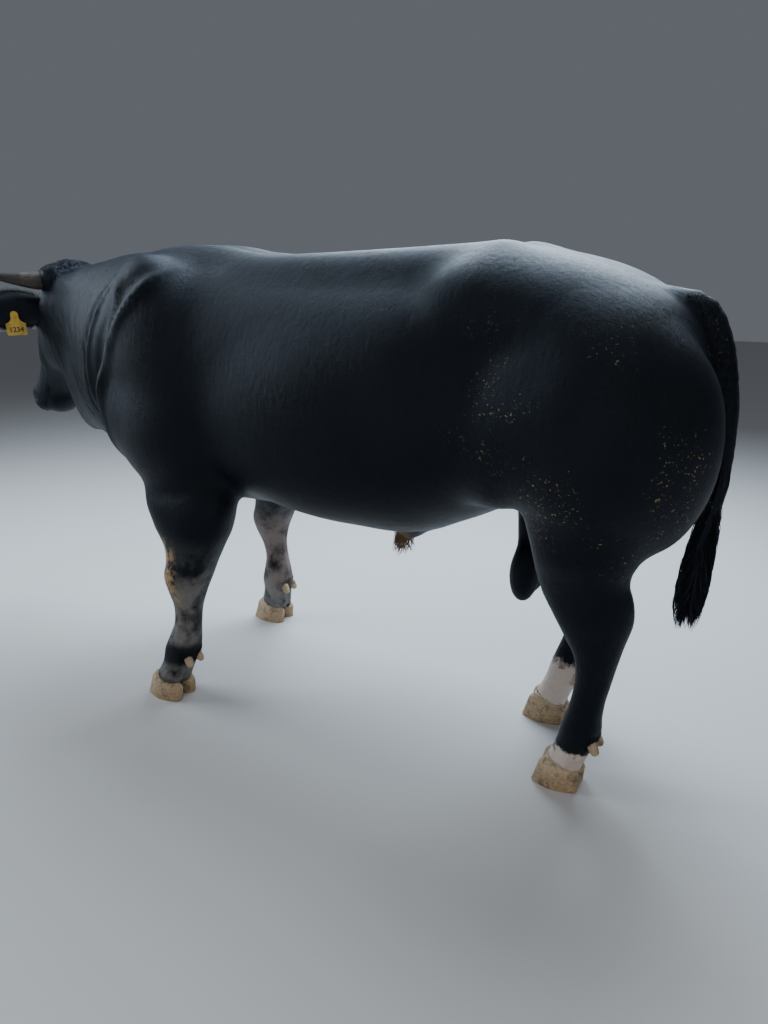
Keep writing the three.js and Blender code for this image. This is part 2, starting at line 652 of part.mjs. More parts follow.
// Tail: two lengths and the switch
const tailPath = new THREE.CatmullRomCurve3([
  vec(745, 0, 1318),
  vec(830, 0, 1302),
  vec(882, 0, 1220),
  vec(912, 0, 1108),
  vec(924, 0, 1000),
  vec(924, 0, 900),
  vec(912, -2, 810),
  vec(900, -4, 700),
  vec(890, -4, 580),
  vec(880, -4, 470),
]);
const TAIL_PARTS = [0.38, 0.6]; // where its two cuts are
const cutWidth = GAP / tailPath.getLength();
const tailPiece = (range, sizes, steps) => tube(tailPath, range, sizes, 12, WORLD.y, steps);
const [upperCut, lowerCut] = TAIL_PARTS;
nodes.set("tail_root", tailPiece([0, upperCut], [[44, 34], [40, 34], [30, 29], [27, 27]], 10).subtract(torsoClear));
nodes.set("tail", tailPiece([upperCut + cutWidth, lowerCut], [[27, 27], [24, 24], [22, 22]], 7).subtract(torsoClear));

// The switch: a core that reaches half way down it, and flat tapered locks that hang over the core
const SWITCH = { core: 0.79, locks: 14, width: 26, thick: 8, sunk: 5 };
const GOLDEN_TURN = degrees(137.5);
const switchSpread = curve([0.6, 0.7, 0.8, 0.9, 1], [15, 29, 36, 35, 27]);
function switchLock(i) {
  const share = i / (SWITCH.locks - 1);
  const outer = 0.55 + 0.45 * Math.abs(Math.cos(i * 1.9));
  const root = lerp(0.617, 0.765, share);
  const tip = lerp(0.87, 1, (share + Math.sin(i * 2.7) + 1) / 3);
  const place = (u) => {
    const t = lerp(root, tip, u);
    const turn = i * GOLDEN_TURN + 0.35 * Math.sin(i * 1.3) * u;
    const way = tailPath.getTangentAt(t);
    const first = WORLD.y.clone().addScaledVector(way, -WORLD.y.dot(way)).normalize();
    const second = way.clone().cross(first);
    const out = first.clone().multiplyScalar(Math.cos(turn)).addScaledVector(second, Math.sin(turn));
    const away = lerp(SWITCH.sunk, switchSpread(t) * outer, Math.min(1, 2.2 * u));
    return { out, across: way.cross(out), centre: tailPath.getPointAt(t).addScaledVector(out, away) };
  };
  const rings = [0, 0.3, 0.6, 0.85].map((u) => {
    const { out, across, centre } = place(u);
    const half = (SWITCH.width / 2) * Math.pow(1 - u, 0.4);
    const deep = (SWITCH.thick / 2) * (1 - 0.6 * u);
    return [[out, deep], [across, half], [out, -deep], [across, -half]].map(([way, far]) =>
      centre.clone().addScaledVector(way, far),
    );
  });
  return solid(closed(rings, place(0).centre, place(1).centre));
}
let switchSolid = tailPiece([lowerCut + cutWidth, SWITCH.core], [[22, 22], [24, 23], [19, 18], [8, 8]], 6);
for (let i = 0; i < SWITCH.locks; i++) switchSolid = switchSolid.add(switchLock(i));
nodes.set("tail_switch", switchSolid);

// Sheath, hanging forward under the belly
const SHEATH_ROPES = [
  rope([330, 0, 775], [150, 0, 700], 34, 44),
  rope([150, 0, 700], [66, 0, 632], 44, 38),
  rope([66, 0, 632], [26, 0, 578], 36, 19),
];
function sheath(x, y, z) {
  const own = SHEATH_ROPES.map((part) => part(x, y, z)).reduce((a, b) => blend(a, b, 24));
  return Math.max(blend(own, trunk(x, y, z), 50), own - 36);
}
const sheathAxis = new THREE.CatmullRomCurve3([vec(30, 0, 584), vec(66, 0, 632), vec(150, 0, 700), vec(300, 0, 762)]);
const sheathSkin = skin(sheath, {
  u: WORLD.y,
  v: vec(0.72, 0, -0.69).normalize(),
  w: vec(-0.69, 0, -0.72).normalize(),
  rings: [...straight(1, 0, 9), ...fan(0, 3, 1)],
  sides: 14,
  place: (t) => sheathAxis.getPointAt(t),
  roundEnd: true,
});
nodes.set("sheath", solid(sheathSkin).subtract(torsoClear));

// Scrotum
const TESTIS = lump([446, 36, 560], [46, 42, 90], [4]);
const CORD = rope([440, 0, 880], [444, 0, 620], 44, 34);
function scrotum(x, y, z) {
  const own = blend(TESTIS(x, Math.abs(y), z), CORD(x, y, z), 30);
  return Math.max(blend(own, trunk(x, y, z), 40), own - 30);
}
const scrotumSkin = skin(scrotum, {
  ...ALONG_Z,
  rings: [...fan(540, 4, -1).reverse(), ...straight(540, 840, 10)],
  sides: 18,
  place: (z) => vec(444, 0, z),
  roundStart: true,
});
nodes.set("scrotum", solid(scrotumSkin).subtract(torsoClear));

// Finishes
const coat = new THREE.MeshStandardMaterial({ color: 0x14161b, roughness: 0.45 });
const horny = new THREE.MeshStandardMaterial({ color: 0x4a443d, roughness: 0.5 });
const hoof = new THREE.MeshStandardMaterial({ color: 0xa08c6c, roughness: 0.7 });
const wet = new THREE.MeshStandardMaterial({ color: 0x0b0a09, roughness: 0.08 });
const plastic = new THREE.MeshStandardMaterial({ color: 0xd8a81c, roughness: 0.5 });
const FINISHES = [["eye", wet], ["horn", horny], ["claw", hoof], ["dewclaw", hoof], ["tag", plastic]];
const finishOf = (name) => (FINISHES.find(([start]) => name.startsWith(start)) ?? [name, coat])[1];

// Assembly, with the origin on the floor under the middle of the whole
const bull = new THREE.Group();
for (const [name, made] of nodes) {
  const mesh = new THREE.Mesh(geometryOf(made), finishOf(name));
  mesh.name = name;
  bull.add(mesh);
}
const bounds = new THREE.Box3().setFromObject(bull);
bull.position.set(-(bounds.min.x + bounds.max.x) / 2, -(bounds.min.y + bounds.max.y) / 2, -bounds.min.z);

export default bull;
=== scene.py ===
import math

import bmesh
import bpy
import numpy as np
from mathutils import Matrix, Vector


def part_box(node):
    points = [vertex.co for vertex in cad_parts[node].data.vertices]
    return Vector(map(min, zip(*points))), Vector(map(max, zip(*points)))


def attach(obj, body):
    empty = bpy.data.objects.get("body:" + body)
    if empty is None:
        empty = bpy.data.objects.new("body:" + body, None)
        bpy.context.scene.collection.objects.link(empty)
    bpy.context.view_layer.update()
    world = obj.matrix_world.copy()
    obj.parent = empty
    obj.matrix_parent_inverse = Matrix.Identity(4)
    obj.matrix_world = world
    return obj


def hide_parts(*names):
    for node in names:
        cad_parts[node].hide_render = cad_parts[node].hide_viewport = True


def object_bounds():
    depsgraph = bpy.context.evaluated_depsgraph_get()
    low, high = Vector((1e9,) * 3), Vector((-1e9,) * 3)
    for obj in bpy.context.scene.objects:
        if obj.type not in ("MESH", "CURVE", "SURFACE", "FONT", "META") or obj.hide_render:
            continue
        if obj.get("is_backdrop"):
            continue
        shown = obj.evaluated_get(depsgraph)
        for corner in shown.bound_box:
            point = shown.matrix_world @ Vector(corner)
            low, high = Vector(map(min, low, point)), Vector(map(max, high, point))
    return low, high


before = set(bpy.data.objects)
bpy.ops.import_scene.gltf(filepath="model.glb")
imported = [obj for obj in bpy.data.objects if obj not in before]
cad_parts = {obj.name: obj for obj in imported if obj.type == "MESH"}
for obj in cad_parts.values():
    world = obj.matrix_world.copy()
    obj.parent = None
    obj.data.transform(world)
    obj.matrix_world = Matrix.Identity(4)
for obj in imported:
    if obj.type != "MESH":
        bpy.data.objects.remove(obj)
cad_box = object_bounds()

# Where the bull stands
# A black, horned, heavily muscled bull stands square on a level floor with its head low and turned away.
# In its own frame the head is towards -X, the left side towards -Y and the floor at 0, in millimetres.
AHEAD_YAW = math.radians(16)
FACE_DROP = math.radians(54)
POLL = np.array([-1377.0, 30.0, 1380.0])  # the top of the skull, between the horns
UP = np.array([0.0, 0.0, 1.0])
AHEAD = np.array([-math.cos(AHEAD_YAW), math.sin(AHEAD_YAW), 0.0])
LEFT = np.array([-math.sin(AHEAD_YAW), -math.cos(AHEAD_YAW), 0.0])
DOWN_FACE = AHEAD * math.cos(FACE_DROP) - UP * math.sin(FACE_DROP)
OFF_FACE = AHEAD * math.sin(FACE_DROP) + UP * math.cos(FACE_DROP)
HEAD_AXES = np.stack([DOWN_FACE, LEFT, OFF_FACE])
EYE = np.array([168.0, 107.0, -50.0])  # the left eye's middle from the poll, on the head's axes


def head_point(t, s, v):
    """A place on the head: t down the face from the poll, s to its left, v out of the forehead."""
    return POLL + t * DOWN_FACE + s * LEFT + v * OFF_FACE


eye_low, eye_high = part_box("eye_left")
SHIFT = np.array((eye_low + eye_high) / 2) - head_point(*EYE) / 1000


def to_frame(points):
    """Body points in millimetres to the CAD frame in metres."""
    return np.asarray(points) / 1000 + SHIFT


# Camera
# It stands at a person's eye height off the hind quarter and looks a little down, along the near side.
# The photo's 768 by 1024 frame has a focal length of 770 of its pixels, and cuts the muzzle side off.
CAMERA_AT = (1076, -2030, 1410)
CAMERA_PITCH = math.radians(18)
CAMERA_HEADING = (-0.480, 0.877)
FOCAL_PIXELS = 770
FRAME_HEIGHT = 1024
camera_data = bpy.data.cameras.new("camera")
camera_data.sensor_fit = "VERTICAL"
camera_data.sensor_height = 24
camera_data.lens = camera_data.sensor_height * FOCAL_PIXELS / FRAME_HEIGHT
camera = bpy.data.objects.new("camera", camera_data)
bpy.context.scene.collection.objects.link(camera)
camera.location = to_frame(CAMERA_AT)
aim = Vector((*CAMERA_HEADING, -math.tan(CAMERA_PITCH)))
camera.rotation_euler = aim.to_track_quat("-Z", "Y").to_euler()
bpy.context.scene.camera = camera

# Flesh
# Bone, muscle and fat under one hide: a distance field for each mass, and they melt into each other.
# The hide is the zero level of their union. Each formula takes an array of points and gives an array.
TINY = 1e-9  # keeps a division from meeting 0


def blend(a, b, k):
    """The lower of two fields, rounded where they differ by less than k."""
    h = np.maximum(k - np.abs(a - b), 0) / k
    return np.minimum(a, b) - h * h * k / 4


def curve(keys, values):
    """A smooth curve through values at increasing keys: cubics, with the neighbours' slope at a key."""
    keys = np.asarray(keys, float)
    values = np.asarray(values, float)
    last = len(keys) - 1
    lower = np.maximum(np.arange(last + 1) - 1, 0)
    upper = np.minimum(np.arange(last + 1) + 1, last)
    slope = (values[upper] - values[lower]) / (keys[upper] - keys[lower])

    def at(t):
        s = np.clip(t, keys[0], keys[-1])
        i = np.clip(np.searchsorted(keys, s, side="left") - 1, 0, last - 1)
        span = keys[i + 1] - keys[i]
        u = (s - keys[i]) / span
        rest = 1 - u
        near = values[i] * (1 + 2 * u) * rest**2 + slope[i] * span * u * rest**2
        return near + values[i + 1] * u**2 * (3 - 2 * u) - slope[i + 1] * span * u**2 * rest

    return at


def columns(rows):
    """Rows of sizes along an axis to one curve for each column after the first, and the two ends."""
    rows = np.array(sorted(rows), float)
    return [curve(rows[:, 0], column) for column in rows[:, 1:].T], rows[0, 0], rows[-1, 0]


def oval(u, v, a, b, n):
    """How far (u, v) lies outside an oval with half sizes a and b and the roundness n."""
    r = np.hypot(u, v) + 1000 * TINY
    norm = ((np.abs(u) / a) ** n + (np.abs(v) / b) ** n) ** (1 / n) + TINY
    return r - r / norm


def past_end(d, t, start, end):
    """Closes a field past the ends of its axis."""
    over = np.maximum(np.maximum(start - t, t - end), 0)
    return np.where(over > 0, np.hypot(np.maximum(d, 0), over), d)


def lump(centre, half, pitch=0, yaw=0):
    """An ellipsoid of flesh, turned about Z by yaw, then about Y by pitch, in degrees: its level times
    its size, over its slope."""
    cy, sy = math.cos(math.radians(pitch)), math.sin(math.radians(pitch))
    cz, sz = math.cos(math.radians(yaw)), math.sin(math.radians(yaw))
    about_y = np.array([[cy, 0, sy], [0, 1, 0], [-sy, 0, cy]])
    about_z = np.array([[cz, -sz, 0], [sz, cz, 0], [0, 0, 1]])
    axes = about_y @ about_z
    centre, half = np.array(centre), np.array(half)

    def field(p):
        q = (p - centre) @ axes / half
        level = np.linalg.norm(q, axis=1)
        steep = np.linalg.norm(q / half, axis=1) + TINY
        return level * (level - 1) / steep

    return field


def rope(a, b, ra, rb):
    """A capsule from a to b with the radius ra at one end and rb at the other."""
    a = np.asarray(a, float)
    along = np.asarray(b, float) - a

    def field(p):
        h = np.clip((p - a) @ along / (along @ along), 0, 1)
        return np.linalg.norm(p - a - h[:, None] * along, axis=1) - (ra + (rb - ra) * h)

    return field


def union(parts, p, start=None):
    """The fields of a list of (field, softness) pairs, melted together in turn."""
    d = start
    for field, k in parts:
        own = field(p)
        d = own if d is None else blend(d, own, k)
    return d


FAR = 300.0  # stands for a field outside its own box, where it takes no part in any blend


def within(p, low, high, field):
    """A field worked out only in the box between two corners."""
    d = np.full(len(p), FAR)
    inside = np.all((p > np.array(low)) & (p < np.array(high)), axis=1)
    if inside.any():
        d[inside] = field(p[inside])
    return d


def mirrored(p):
    """Both sides as one: y without its sign."""
    return p * [1, 0, 1] + np.abs(p) * [0, 1, 0]


WITHERS = 1450.0
# The trunk and neck: x, back line, belly line, half width, height of the widest line, bend, roundness.
TRUNK_ROWS = [
    (-1440, WITHERS - 240, 1060, 24, 1130, 26, 2.0),
    (-1405, WITHERS - 150, 940, 66, 1140, 26, 2.0),
    (-1370, WITHERS - 118, 862, 92, 1135, 24, 2.1),
    (-1320, WITHERS - 88, 798, 114, 1130, 22, 2.2),
    (-1230, WITHERS - 52, 796, 158, 1110, 16, 2.2),
    (-1130, WITHERS - 33, 776, 202, 1080, 8, 2.1),
    (-1020, WITHERS - 14, 764, 248, 1060, 2, 2.0),
    (-900, WITHERS - 6, 704, 292, 1030, 0, 2.2),
    (-760, WITHERS, 655, 318, 1010, 0, 2.3),
    (-600, WITHERS - 8, 648, 322, 1000, 0, 2.3),
    (-430, WITHERS - 26, 655, 322, 995, 0, 2.3),
    (-250, WITHERS - 36, 656, 334, 985, 0, 2.3),
    (-50, WITHERS - 38, 636, 350, 975, 0, 2.3),
    (130, WITHERS - 26, 642, 350, 985, 0, 2.3),
    (280, WITHERS - 8, 700, 326, 1015, 0, 2.2),
    (420, WITHERS - 2, 772, 296, 1050, 0, 2.1),
    (560, WITHERS - 36, 800, 278, 1065, 0, 2.0),
    (700, WITHERS - 84, 815, 250, 1070, 0, 2.0),
    (800, WITHERS - 134, 840, 200, 1075, 0, 2.0),
    (850, WITHERS - 186, 890, 140, 1080, 0, 2.0),
    (890, WITHERS - 280, 1000, 50, 1080, 0, 2.0),
]
BARREL, BARREL_START, BARREL_END = columns(TRUNK_ROWS)
MUSCLES = [
    (lump((-690, 215, 1150), (150, 118, 290), -18), 90),  # shoulder blade
    (lump((-680, 262, 880), (190, 110, 165), 20, 8), 70),  # upper arm
    (lump((-838, 205, 936), (104, 98, 132), -14), 70),  # point of the shoulder
    (lump((-862, 72, 792), (116, 106, 116), 25), 70),  # breast
    (lump((-640, 60, 1385), (210, 62, 68)), 60),  # withers
    (rope((-420, 92, 1350), (360, 118, 1376), 74, 84), 50),  # loin
    (lump((-150, 190, 960), (330, 176, 250)), 80),  # ribs
    (lump((352, 206, 1316), (120, 76, 82), 10, -20), 90),  # hip bone
    (lump((560, 150, 1258), (270, 165, 150), 18), 90),  # rump
    (lump((650, 232, 1030), (220, 158, 285), -4), 60),  # outer thigh
    (lump((775, 168, 985), (160, 150, 268), 4), 50),  # back of the thigh
    (lump((456, 226, 1000), (118, 108, 200), 18), 80),  # front of the thigh
]


def trunk(p):
    """The barrel's ovals along x, with the muscles of both sides."""
    top, bottom, half, wide, bend, round_by = (f(p[:, 0]) for f in BARREL)
    v = p[:, 2] - wide
    d = oval(p[:, 1] - bend, v, half, np.where(v > 0, top - wide, wide - bottom), round_by)
    return union(MUSCLES, mirrored(p), past_end(d, p[:, 0], BARREL_START, BARREL_END))


# The legs: height, then the middle's x and y, half depth and half width, of the left one of each pair.
# Each right foot stands further forward, by a step that fades out up the leg.
FORE_ROWS = [
    (960, -650, -170, 80, 40),
    (860, -630, -205, 118, 70),
    (760, -606, -240, 152, 92),
    (690, -592, -264, 164, 104),
    (610, -570, -284, 134, 101),
    (555, -560, -297, 102, 87),
    (500, -568, -305, 86, 78),
    (450, -583, -310, 80, 76),
    (400, -590, -312, 66, 62),
    (340, -592, -314, 50, 45),
    (280, -598, -316, 47, 43),
    (225, -613, -318, 55, 52),
    (185, -625, -320, 61, 57),
    (135, -642, -323, 56, 55),
    (90, -664, -326, 58, 57),
    (40, -690, -328, 62, 58),
]
HIND_ROWS = [
    (1040, 660, -160, 60, 40),
    (930, 652, -185, 100, 60),
    (850, 646, -205, 128, 80),
    (780, 644, -214, 140, 92),
    (710, 650, -212, 132, 90),
    (650, 650, -205, 120, 72),
    (595, 666, -200, 119, 62),
    (545, 681, -197, 107, 58),
    (485, 691, -193, 83, 51),
    (420, 700, -188, 59, 43),
    (360, 697, -183, 50, 38),
    (295, 688, -177, 47, 37),
    (240, 679, -171, 50, 42),
    (195, 673, -166, 56, 48),
    (145, 660, -161, 54, 48),
    (95, 640, -156, 56, 50),
    (40, 618, -152, 60, 54),
]
FORE_STEP = curve([40, 200, 450, 700, 900], [-40, -82, -124, -50, 0])
HIND_STEP = curve([40, 250, 560, 760, 900], [-134, -126, -90, -45, 0])
CORONET = 74.0
CORONET_RISE = 0.36
SKIN_END = 8.0  # how far under the coronet the skin ends, inside the hoof
SKIN_SOFT = 18.0  # how softly that end is rounded
LEG_ROUND = 2.2
LEG_FRONT, LEG_BACK = 330, 460  # how far the box of a leg reaches from its foot
LEG_SIDE, LEG_TOP = 460, 1180
NO_STEP = curve([0, 1], [0, 0])


class Leg:
    """One leg's place: its middle at each height, its sizes, and its foot at the top of the hoof."""

    def __init__(self, pair, hand, rows, step):
        self.pair = pair
        self.hand = hand
        self.side = -1 if hand == "left" else 1
        placed = [(z, x + float(step(z)), -y * self.side, a, b) for z, x, y, a, b in rows]
        self.sizes, self.start, self.end = columns(placed)
        self.foot = self.middle(CORONET)
        self.low = (self.foot[0] - LEG_FRONT, min(0, self.side * LEG_SIDE), 0)
        self.high = (self.foot[0] + LEG_BACK, max(0, self.side * LEG_SIDE), LEG_TOP)

    def middle(self, z):
        """The middle of the leg at a height."""
        return np.array([float(self.sizes[0](z)), float(self.sizes[1](z)), z])

    def field(self, p):
        """Ovals up the leg, rounded off on a slope just under the top of the hoof."""
        x, y, z = p.T
        cx, cy, a, b = (f(z) for f in self.sizes)
        d = past_end(oval(x - cx, y - cy, a, b, LEG_ROUND), z, self.start, self.end)
        under = CORONET - SKIN_END + (self.foot[0] - x) * CORONET_RISE - z
        return -blend(-d, -under, SKIN_SOFT)


LEGS = [
    Leg("fore", "left", FORE_ROWS, NO_STEP),
    Leg("fore", "right", FORE_ROWS, FORE_STEP),
    Leg("hind", "left", HIND_ROWS, NO_STEP),
    Leg("hind", "right", HIND_ROWS, HIND_STEP),
]

# The skull: t down the face, forehead line, jaw line, half width, where it is widest.
SKULL_ROWS = [
    (-30, -4, -150, 80, -70),
    (20, 18, -175, 98, -75),
    (80, 30, -205, 116, -70),
    (150, 30, -238, 126, -72),
    (220, 22, -240, 116, -84),
    (300, 8, -212, 99, -88),
    (380, -4, -180, 85, -88),
    (450, -12, -160, 83, -88),
    (518, -20, -156, 91, -90),
    (560, -34, -150, 84, -92),
    (588, -62, -130, 60, -96),
]
SKULL, SKULL_START, SKULL_END = columns(SKULL_ROWS)
SKULL_ROUND = 2.3
EYE_RADIUS = 21.0
LID = 5.0
FACE = [
    (lump((150, 98, -22), (46, 30, 24), 8), 30),  # brow
    (lump((EYE[0], EYE[1] - 4, EYE[2]), (34, 30, 30)), 24),  # bulge round the eyeball
    (lump((205, 73, -160), (98, 44, 74), 8), 46),  # cheek
    (lump((270, 83, -80), (90, 20, 20), 6), 34),  # cheek bone
    (lump((546, 56, -58), (40, 32, 34)), 26),  # nostril wing
    (lump((558, 40, -104), (32, 52, 34)), 26),  # upper lip
    (lump((530, 0, -150), (46, 54, 28), -6), 26),  # chin
    (lump((10, 0, -6), (54, 84, 36)), 40),  # poll
    (lump((112, 96, -86), (36, 34, 40)), 40),  # ear root
    (lump((18, 84, -22), (42, 34, 40)), 34),  # horn root
    (lump(EYE, (EYE_RADIUS + LID) * np.array([1.15, 1.0, 0.95])), 10),  # lids
]


def to_head(p):
    """Body points to the head's own frame."""
    return (p - POLL) @ HEAD_AXES.T


def head(p):
    """The skull's ovals down the face, with the forms of both sides."""
    own = to_head(p)
    t, s, v = own.T
    top, bottom, half, wide = (f(t) for f in SKULL)
    up = v - wide
    d = oval(s, up, half, np.where(up > 0, top - wide, wide - bottom), SKULL_ROUND)
    return union(FACE, mirrored(own), past_end(d, t, SKULL_START, SKULL_END))


TAIL_POINTS = np.array([
    (745, 0, 1318), (830, 0, 1302), (882, 0, 1220), (912, 0, 1108), (924, 0, 1000),
    (924, 0, 900), (912, -2, 810), (900, -4, 700), (890, -4, 580), (880, -4, 470),
], float)
TAIL_REACH = np.concatenate([[0], np.cumsum(np.linalg.norm(np.diff(TAIL_POINTS, axis=0), axis=1))])
TAIL_AXES = [curve(TAIL_REACH / TAIL_REACH[-1], column) for column in TAIL_POINTS.T]
TAIL_SIZE = curve([0, 0.13, 0.26, 0.38, 0.6, 0.8, 1], [40, 38, 31, 27, 21, 14, 5])
DOCK_END = 0.86  # how far down the tail the flesh goes, hidden in the switch
DOCK_SINK = 2  # how much thinner the flesh is than the tail with its coat
DOCK_STEPS = 26


def tail_at(t):
    """Places along the tail, from 0 at its root to 1 at its tip."""
    return np.stack([f(t) for f in TAIL_AXES], -1)


def tail(p):
    """A chain of capsules down the tail's dock, into the switch."""
    t = np.linspace(0, DOCK_END, DOCK_STEPS)
    at, size = tail_at(t), TAIL_SIZE(t) - DOCK_SINK
    links = zip(at, at[1:], size, size[1:])
    return union([(rope(a, b, ra, rb), 4) for a, b, ra, rb in links], p)


SHEATH = [
    (rope((330, 0, 775), (150, 0, 700), 34, 44), 24),
    (rope((150, 0, 700), (66, 0, 632), 44, 38), 24),
    (rope((66, 0, 632), (26, 0, 578), 36, 19), 24),
]
SCROTUM = [
    (lump((446, 36, 560), (46, 42, 90), 4), 30),
    (rope((440, 0, 880), (444, 0, 620), 44, 34), 30),
]


def sheath(p):
    """The sheath, as capsules along the belly and down to its end."""
    return union(SHEATH, p)


def scrotum(p):
    """The scrotum, with both of its halves."""
    return union(SCROTUM, mirrored(p))


# What hangs on the trunk: its field, the two corners of the box round it, and how softly it joins.
LIMBS = [
    (head, (-2000, -260, 650), (-1120, 420, 1600), 70),
    *[(leg.field, leg.low, leg.high, 50) for leg in LEGS],
    (tail, (560, -200, 420), (1120, 200, 1500), 26),
    (sheath, (-160, -200, 430), (500, 200, 920), 50),
    (scrotum, (260, -220, 330), (620, 220, 980), 40),
]


def body(p):
    """The whole flesh: the trunk with head, legs, tail, sheath and scrotum melted into it in turn."""
    d = trunk(p)
    for field, low, high, soft in LIMBS:
        d = blend(d, within(p, low, high, field), soft)
    return d


# Hide
# Thick supple skin that hangs in folds on the neck and throat, tight over the muscles and the leg bones.
# It lies inside the solids by the depth of the coat, and is one closed mesh from muzzle to tail.
COAT_DEPTH = 2.0
CELL = 15.4
NET_LOW = np.array([-1800.0, -420.0, 20.0])
NET_HIGH = np.array([1000.0, 420.0, 1510.0])
NET_CHUNKS = 8


def net(values, low, step):
    """A quad net on the zero level of a grid. Each cell that the level crosses has one point, the mean
    of the crossings of its edges. Each grid edge that it crosses has a quad through its four cells."""
    cells = tuple(n - 1 for n in values.shape)
    total = np.zeros((*cells, 3), np.float32)
    count = np.zeros(cells, np.float32)
    inside = values < 0
    crossed = []
    for axis in range(3):
        one, two = (axis + 1) % 3, (axis + 2) % 3
        ahead = [slice(None)] * 3
        behind = [slice(None)] * 3
        behind[axis], ahead[axis] = slice(None, -1), slice(1, None)
        a, b = values[tuple(behind)], values[tuple(ahead)]
        cross = inside[tuple(behind)] != inside[tuple(ahead)]
        part = np.where(cross, a / np.where(cross, a - b, 1), 0)
        crossed.append((cross, inside[tuple(behind)]))
        for du in (0, 1):
            for dv in (0, 1):
                at = [slice(None)] * 3
                at[one] = slice(du, cells[one] + du)
                at[two] = slice(dv, cells[two] + dv)
                hit = cross[tuple(at)]
                total[..., axis] += part[tuple(at)]
                total[..., one] += hit * du
                total[..., two] += hit * dv
                count += hit
    used = count > 0
    index = np.full(cells, -1)
    index[used] = np.arange(used.sum())
    points = (np.argwhere(used) + total[used] / count[used][:, None]) * step + low
    quads = []
    for axis, (cross, first_inside) in enumerate(crossed):
        one, two = (axis + 1) % 3, (axis + 2) % 3
        where = np.argwhere(cross)
        where = where[(where[:, one] > 0) & (where[:, two] > 0)]
        where = where[(where[:, one] < cells[one]) & (where[:, two] < cells[two])]
        corners = []
        for du, dv in ((1, 1), (0, 1), (0, 0), (1, 0)):
            cell = where.copy()
            cell[:, one] -= du
            cell[:, two] -= dv
            corners.append(index[tuple(cell.T)])
        quad = np.stack(corners, 1)
        turned = ~first_inside[tuple(where.T)]
        quad[turned] = quad[turned][:, ::-1]
        quads.append(quad)
    return points, np.concatenate(quads)


def unit(v):
    """Vectors of length 1."""
    return v / (np.linalg.norm(v, axis=-1, keepdims=True) + TINY)


def slope(field, p, reach=1.5):
    """The gradient of a field, from its change across a short way on each axis."""
    ways = np.eye(3) * reach
    return np.stack([(field(p + way) - field(p - way)) / (2 * reach) for way in ways], 1)


def settle(p, level, rounds=3):
    """Moves points along the slope to a level of the flesh, and gives their normals too."""
    for _ in range(rounds):
        g = slope(body, p)
        p = p - g * ((body(p) - level) / (np.sum(g * g, axis=1) + TINY))[:, None]
    return p, unit(slope(body, p))


def new_mesh(name, points, *faces):
    """A smooth mesh from body points and arrays of faces, each array with one number of corners."""
    mesh = bpy.data.meshes.new(name)
    corners = np.concatenate([f.ravel() for f in faces]).astype(np.int32)
    sizes = np.concatenate([np.full(len(f), f.shape[1]) for f in faces])
    mesh.vertices.add(len(points))
    mesh.vertices.foreach_set("co", to_frame(points).astype(np.float32).ravel())
    mesh.loops.add(len(corners))
    mesh.loops.foreach_set("vertex_index", corners)
    mesh.polygons.add(len(sizes))
    mesh.polygons.foreach_set("loop_start", (np.cumsum(sizes) - sizes).astype(np.int32))
    mesh.polygons.foreach_set("use_smooth", np.ones(len(sizes), bool))
    mesh.update(calc_edges=True)
    return mesh


def place(mesh, finish, slot, *nodes):
    """Shows a mesh as a piece on the still body, in place of the CAD nodes that it stands for."""
    made = bpy.data.objects.new(mesh.name, mesh)
    bpy.context.scene.collection.objects.link(made)
    mesh.materials.append(finish)
    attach(made, "root")
    if nodes:
        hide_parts(*nodes)
    return made


ticks = [np.arange(a, b, CELL) for a, b in zip(NET_LOW, NET_HIGH)]
grid = np.stack(np.meshgrid(*ticks, indexing="ij"), -1).reshape(-1, 3)
values = np.concatenate([body(chunk) for chunk in np.array_split(grid, NET_CHUNKS)]) + COAT_DEPTH
points, quads = net(values.reshape([len(t) for t in ticks]), NET_LOW, CELL)
points, _ = settle(points, -COAT_DEPTH)

# Finer quads where the hide has detail: the place, how far it reaches, and the largest side of a quad.
FEET = [leg.foot + [0, 0, 40] for leg in LEGS]
FINE = [
    (head_point(290, 0, -80), 335, 11.4),
    (np.array([-1120, 0, 1130]), 330, 11.4),
    *[(foot, 110, 11.4) for foot in FEET],
    (head_point(520, 0, -120), 95, 5.6),
    *[(head_point(EYE[0], side * (EYE[1] + 15), EYE[2]), 44, 2.8) for side in (1, -1)],
    *[(head_point(560, side * 42, -60), 34, 2.8) for side in (1, -1)],
]
HALVINGS = 4
skin = new_mesh("hide", points, quads)
net_mesh = bmesh.new()
net_mesh.from_mesh(skin)
for centre, reach, size in FINE:
    middle = Vector(to_frame(centre))
    for _ in range(HALVINGS):
        near = [f for f in net_mesh.faces if (f.calc_center_median() - middle).length < reach / 1000]
        near = [f for f in near if f.calc_area() > (size / 1000) ** 2]
        edges = list({e for f in near for e in f.edges})
        bmesh.ops.subdivide_edges(net_mesh, edges=edges, cuts=1, use_grid_fill=True)
net_mesh.to_mesh(skin)
net_mesh.free()
fine = np.empty(len(skin.vertices) * 3)
skin.vertices.foreach_get("co", fine)
fine = (fine.reshape(-1, 3) - SHIFT) * 1000
hide, normals = settle(fine, -COAT_DEPTH)


def bell(d, width):
    """A smooth bump: one at 0, a third at the width."""
    return np.exp(-((d / width) ** 2))


def ramp(t, start, end):
    """From 0 at the start to 1 at the end, smooth at both."""
    u = np.clip((t - start) / (end - start), 0, 1)
    return u * u * (3 - 2 * u)


def window(t, rise, fall):
    """From 0 to 1 over the rise, and back to 0 over the fall."""
    return ramp(t, *rise) * (1 - ramp(t, *fall))


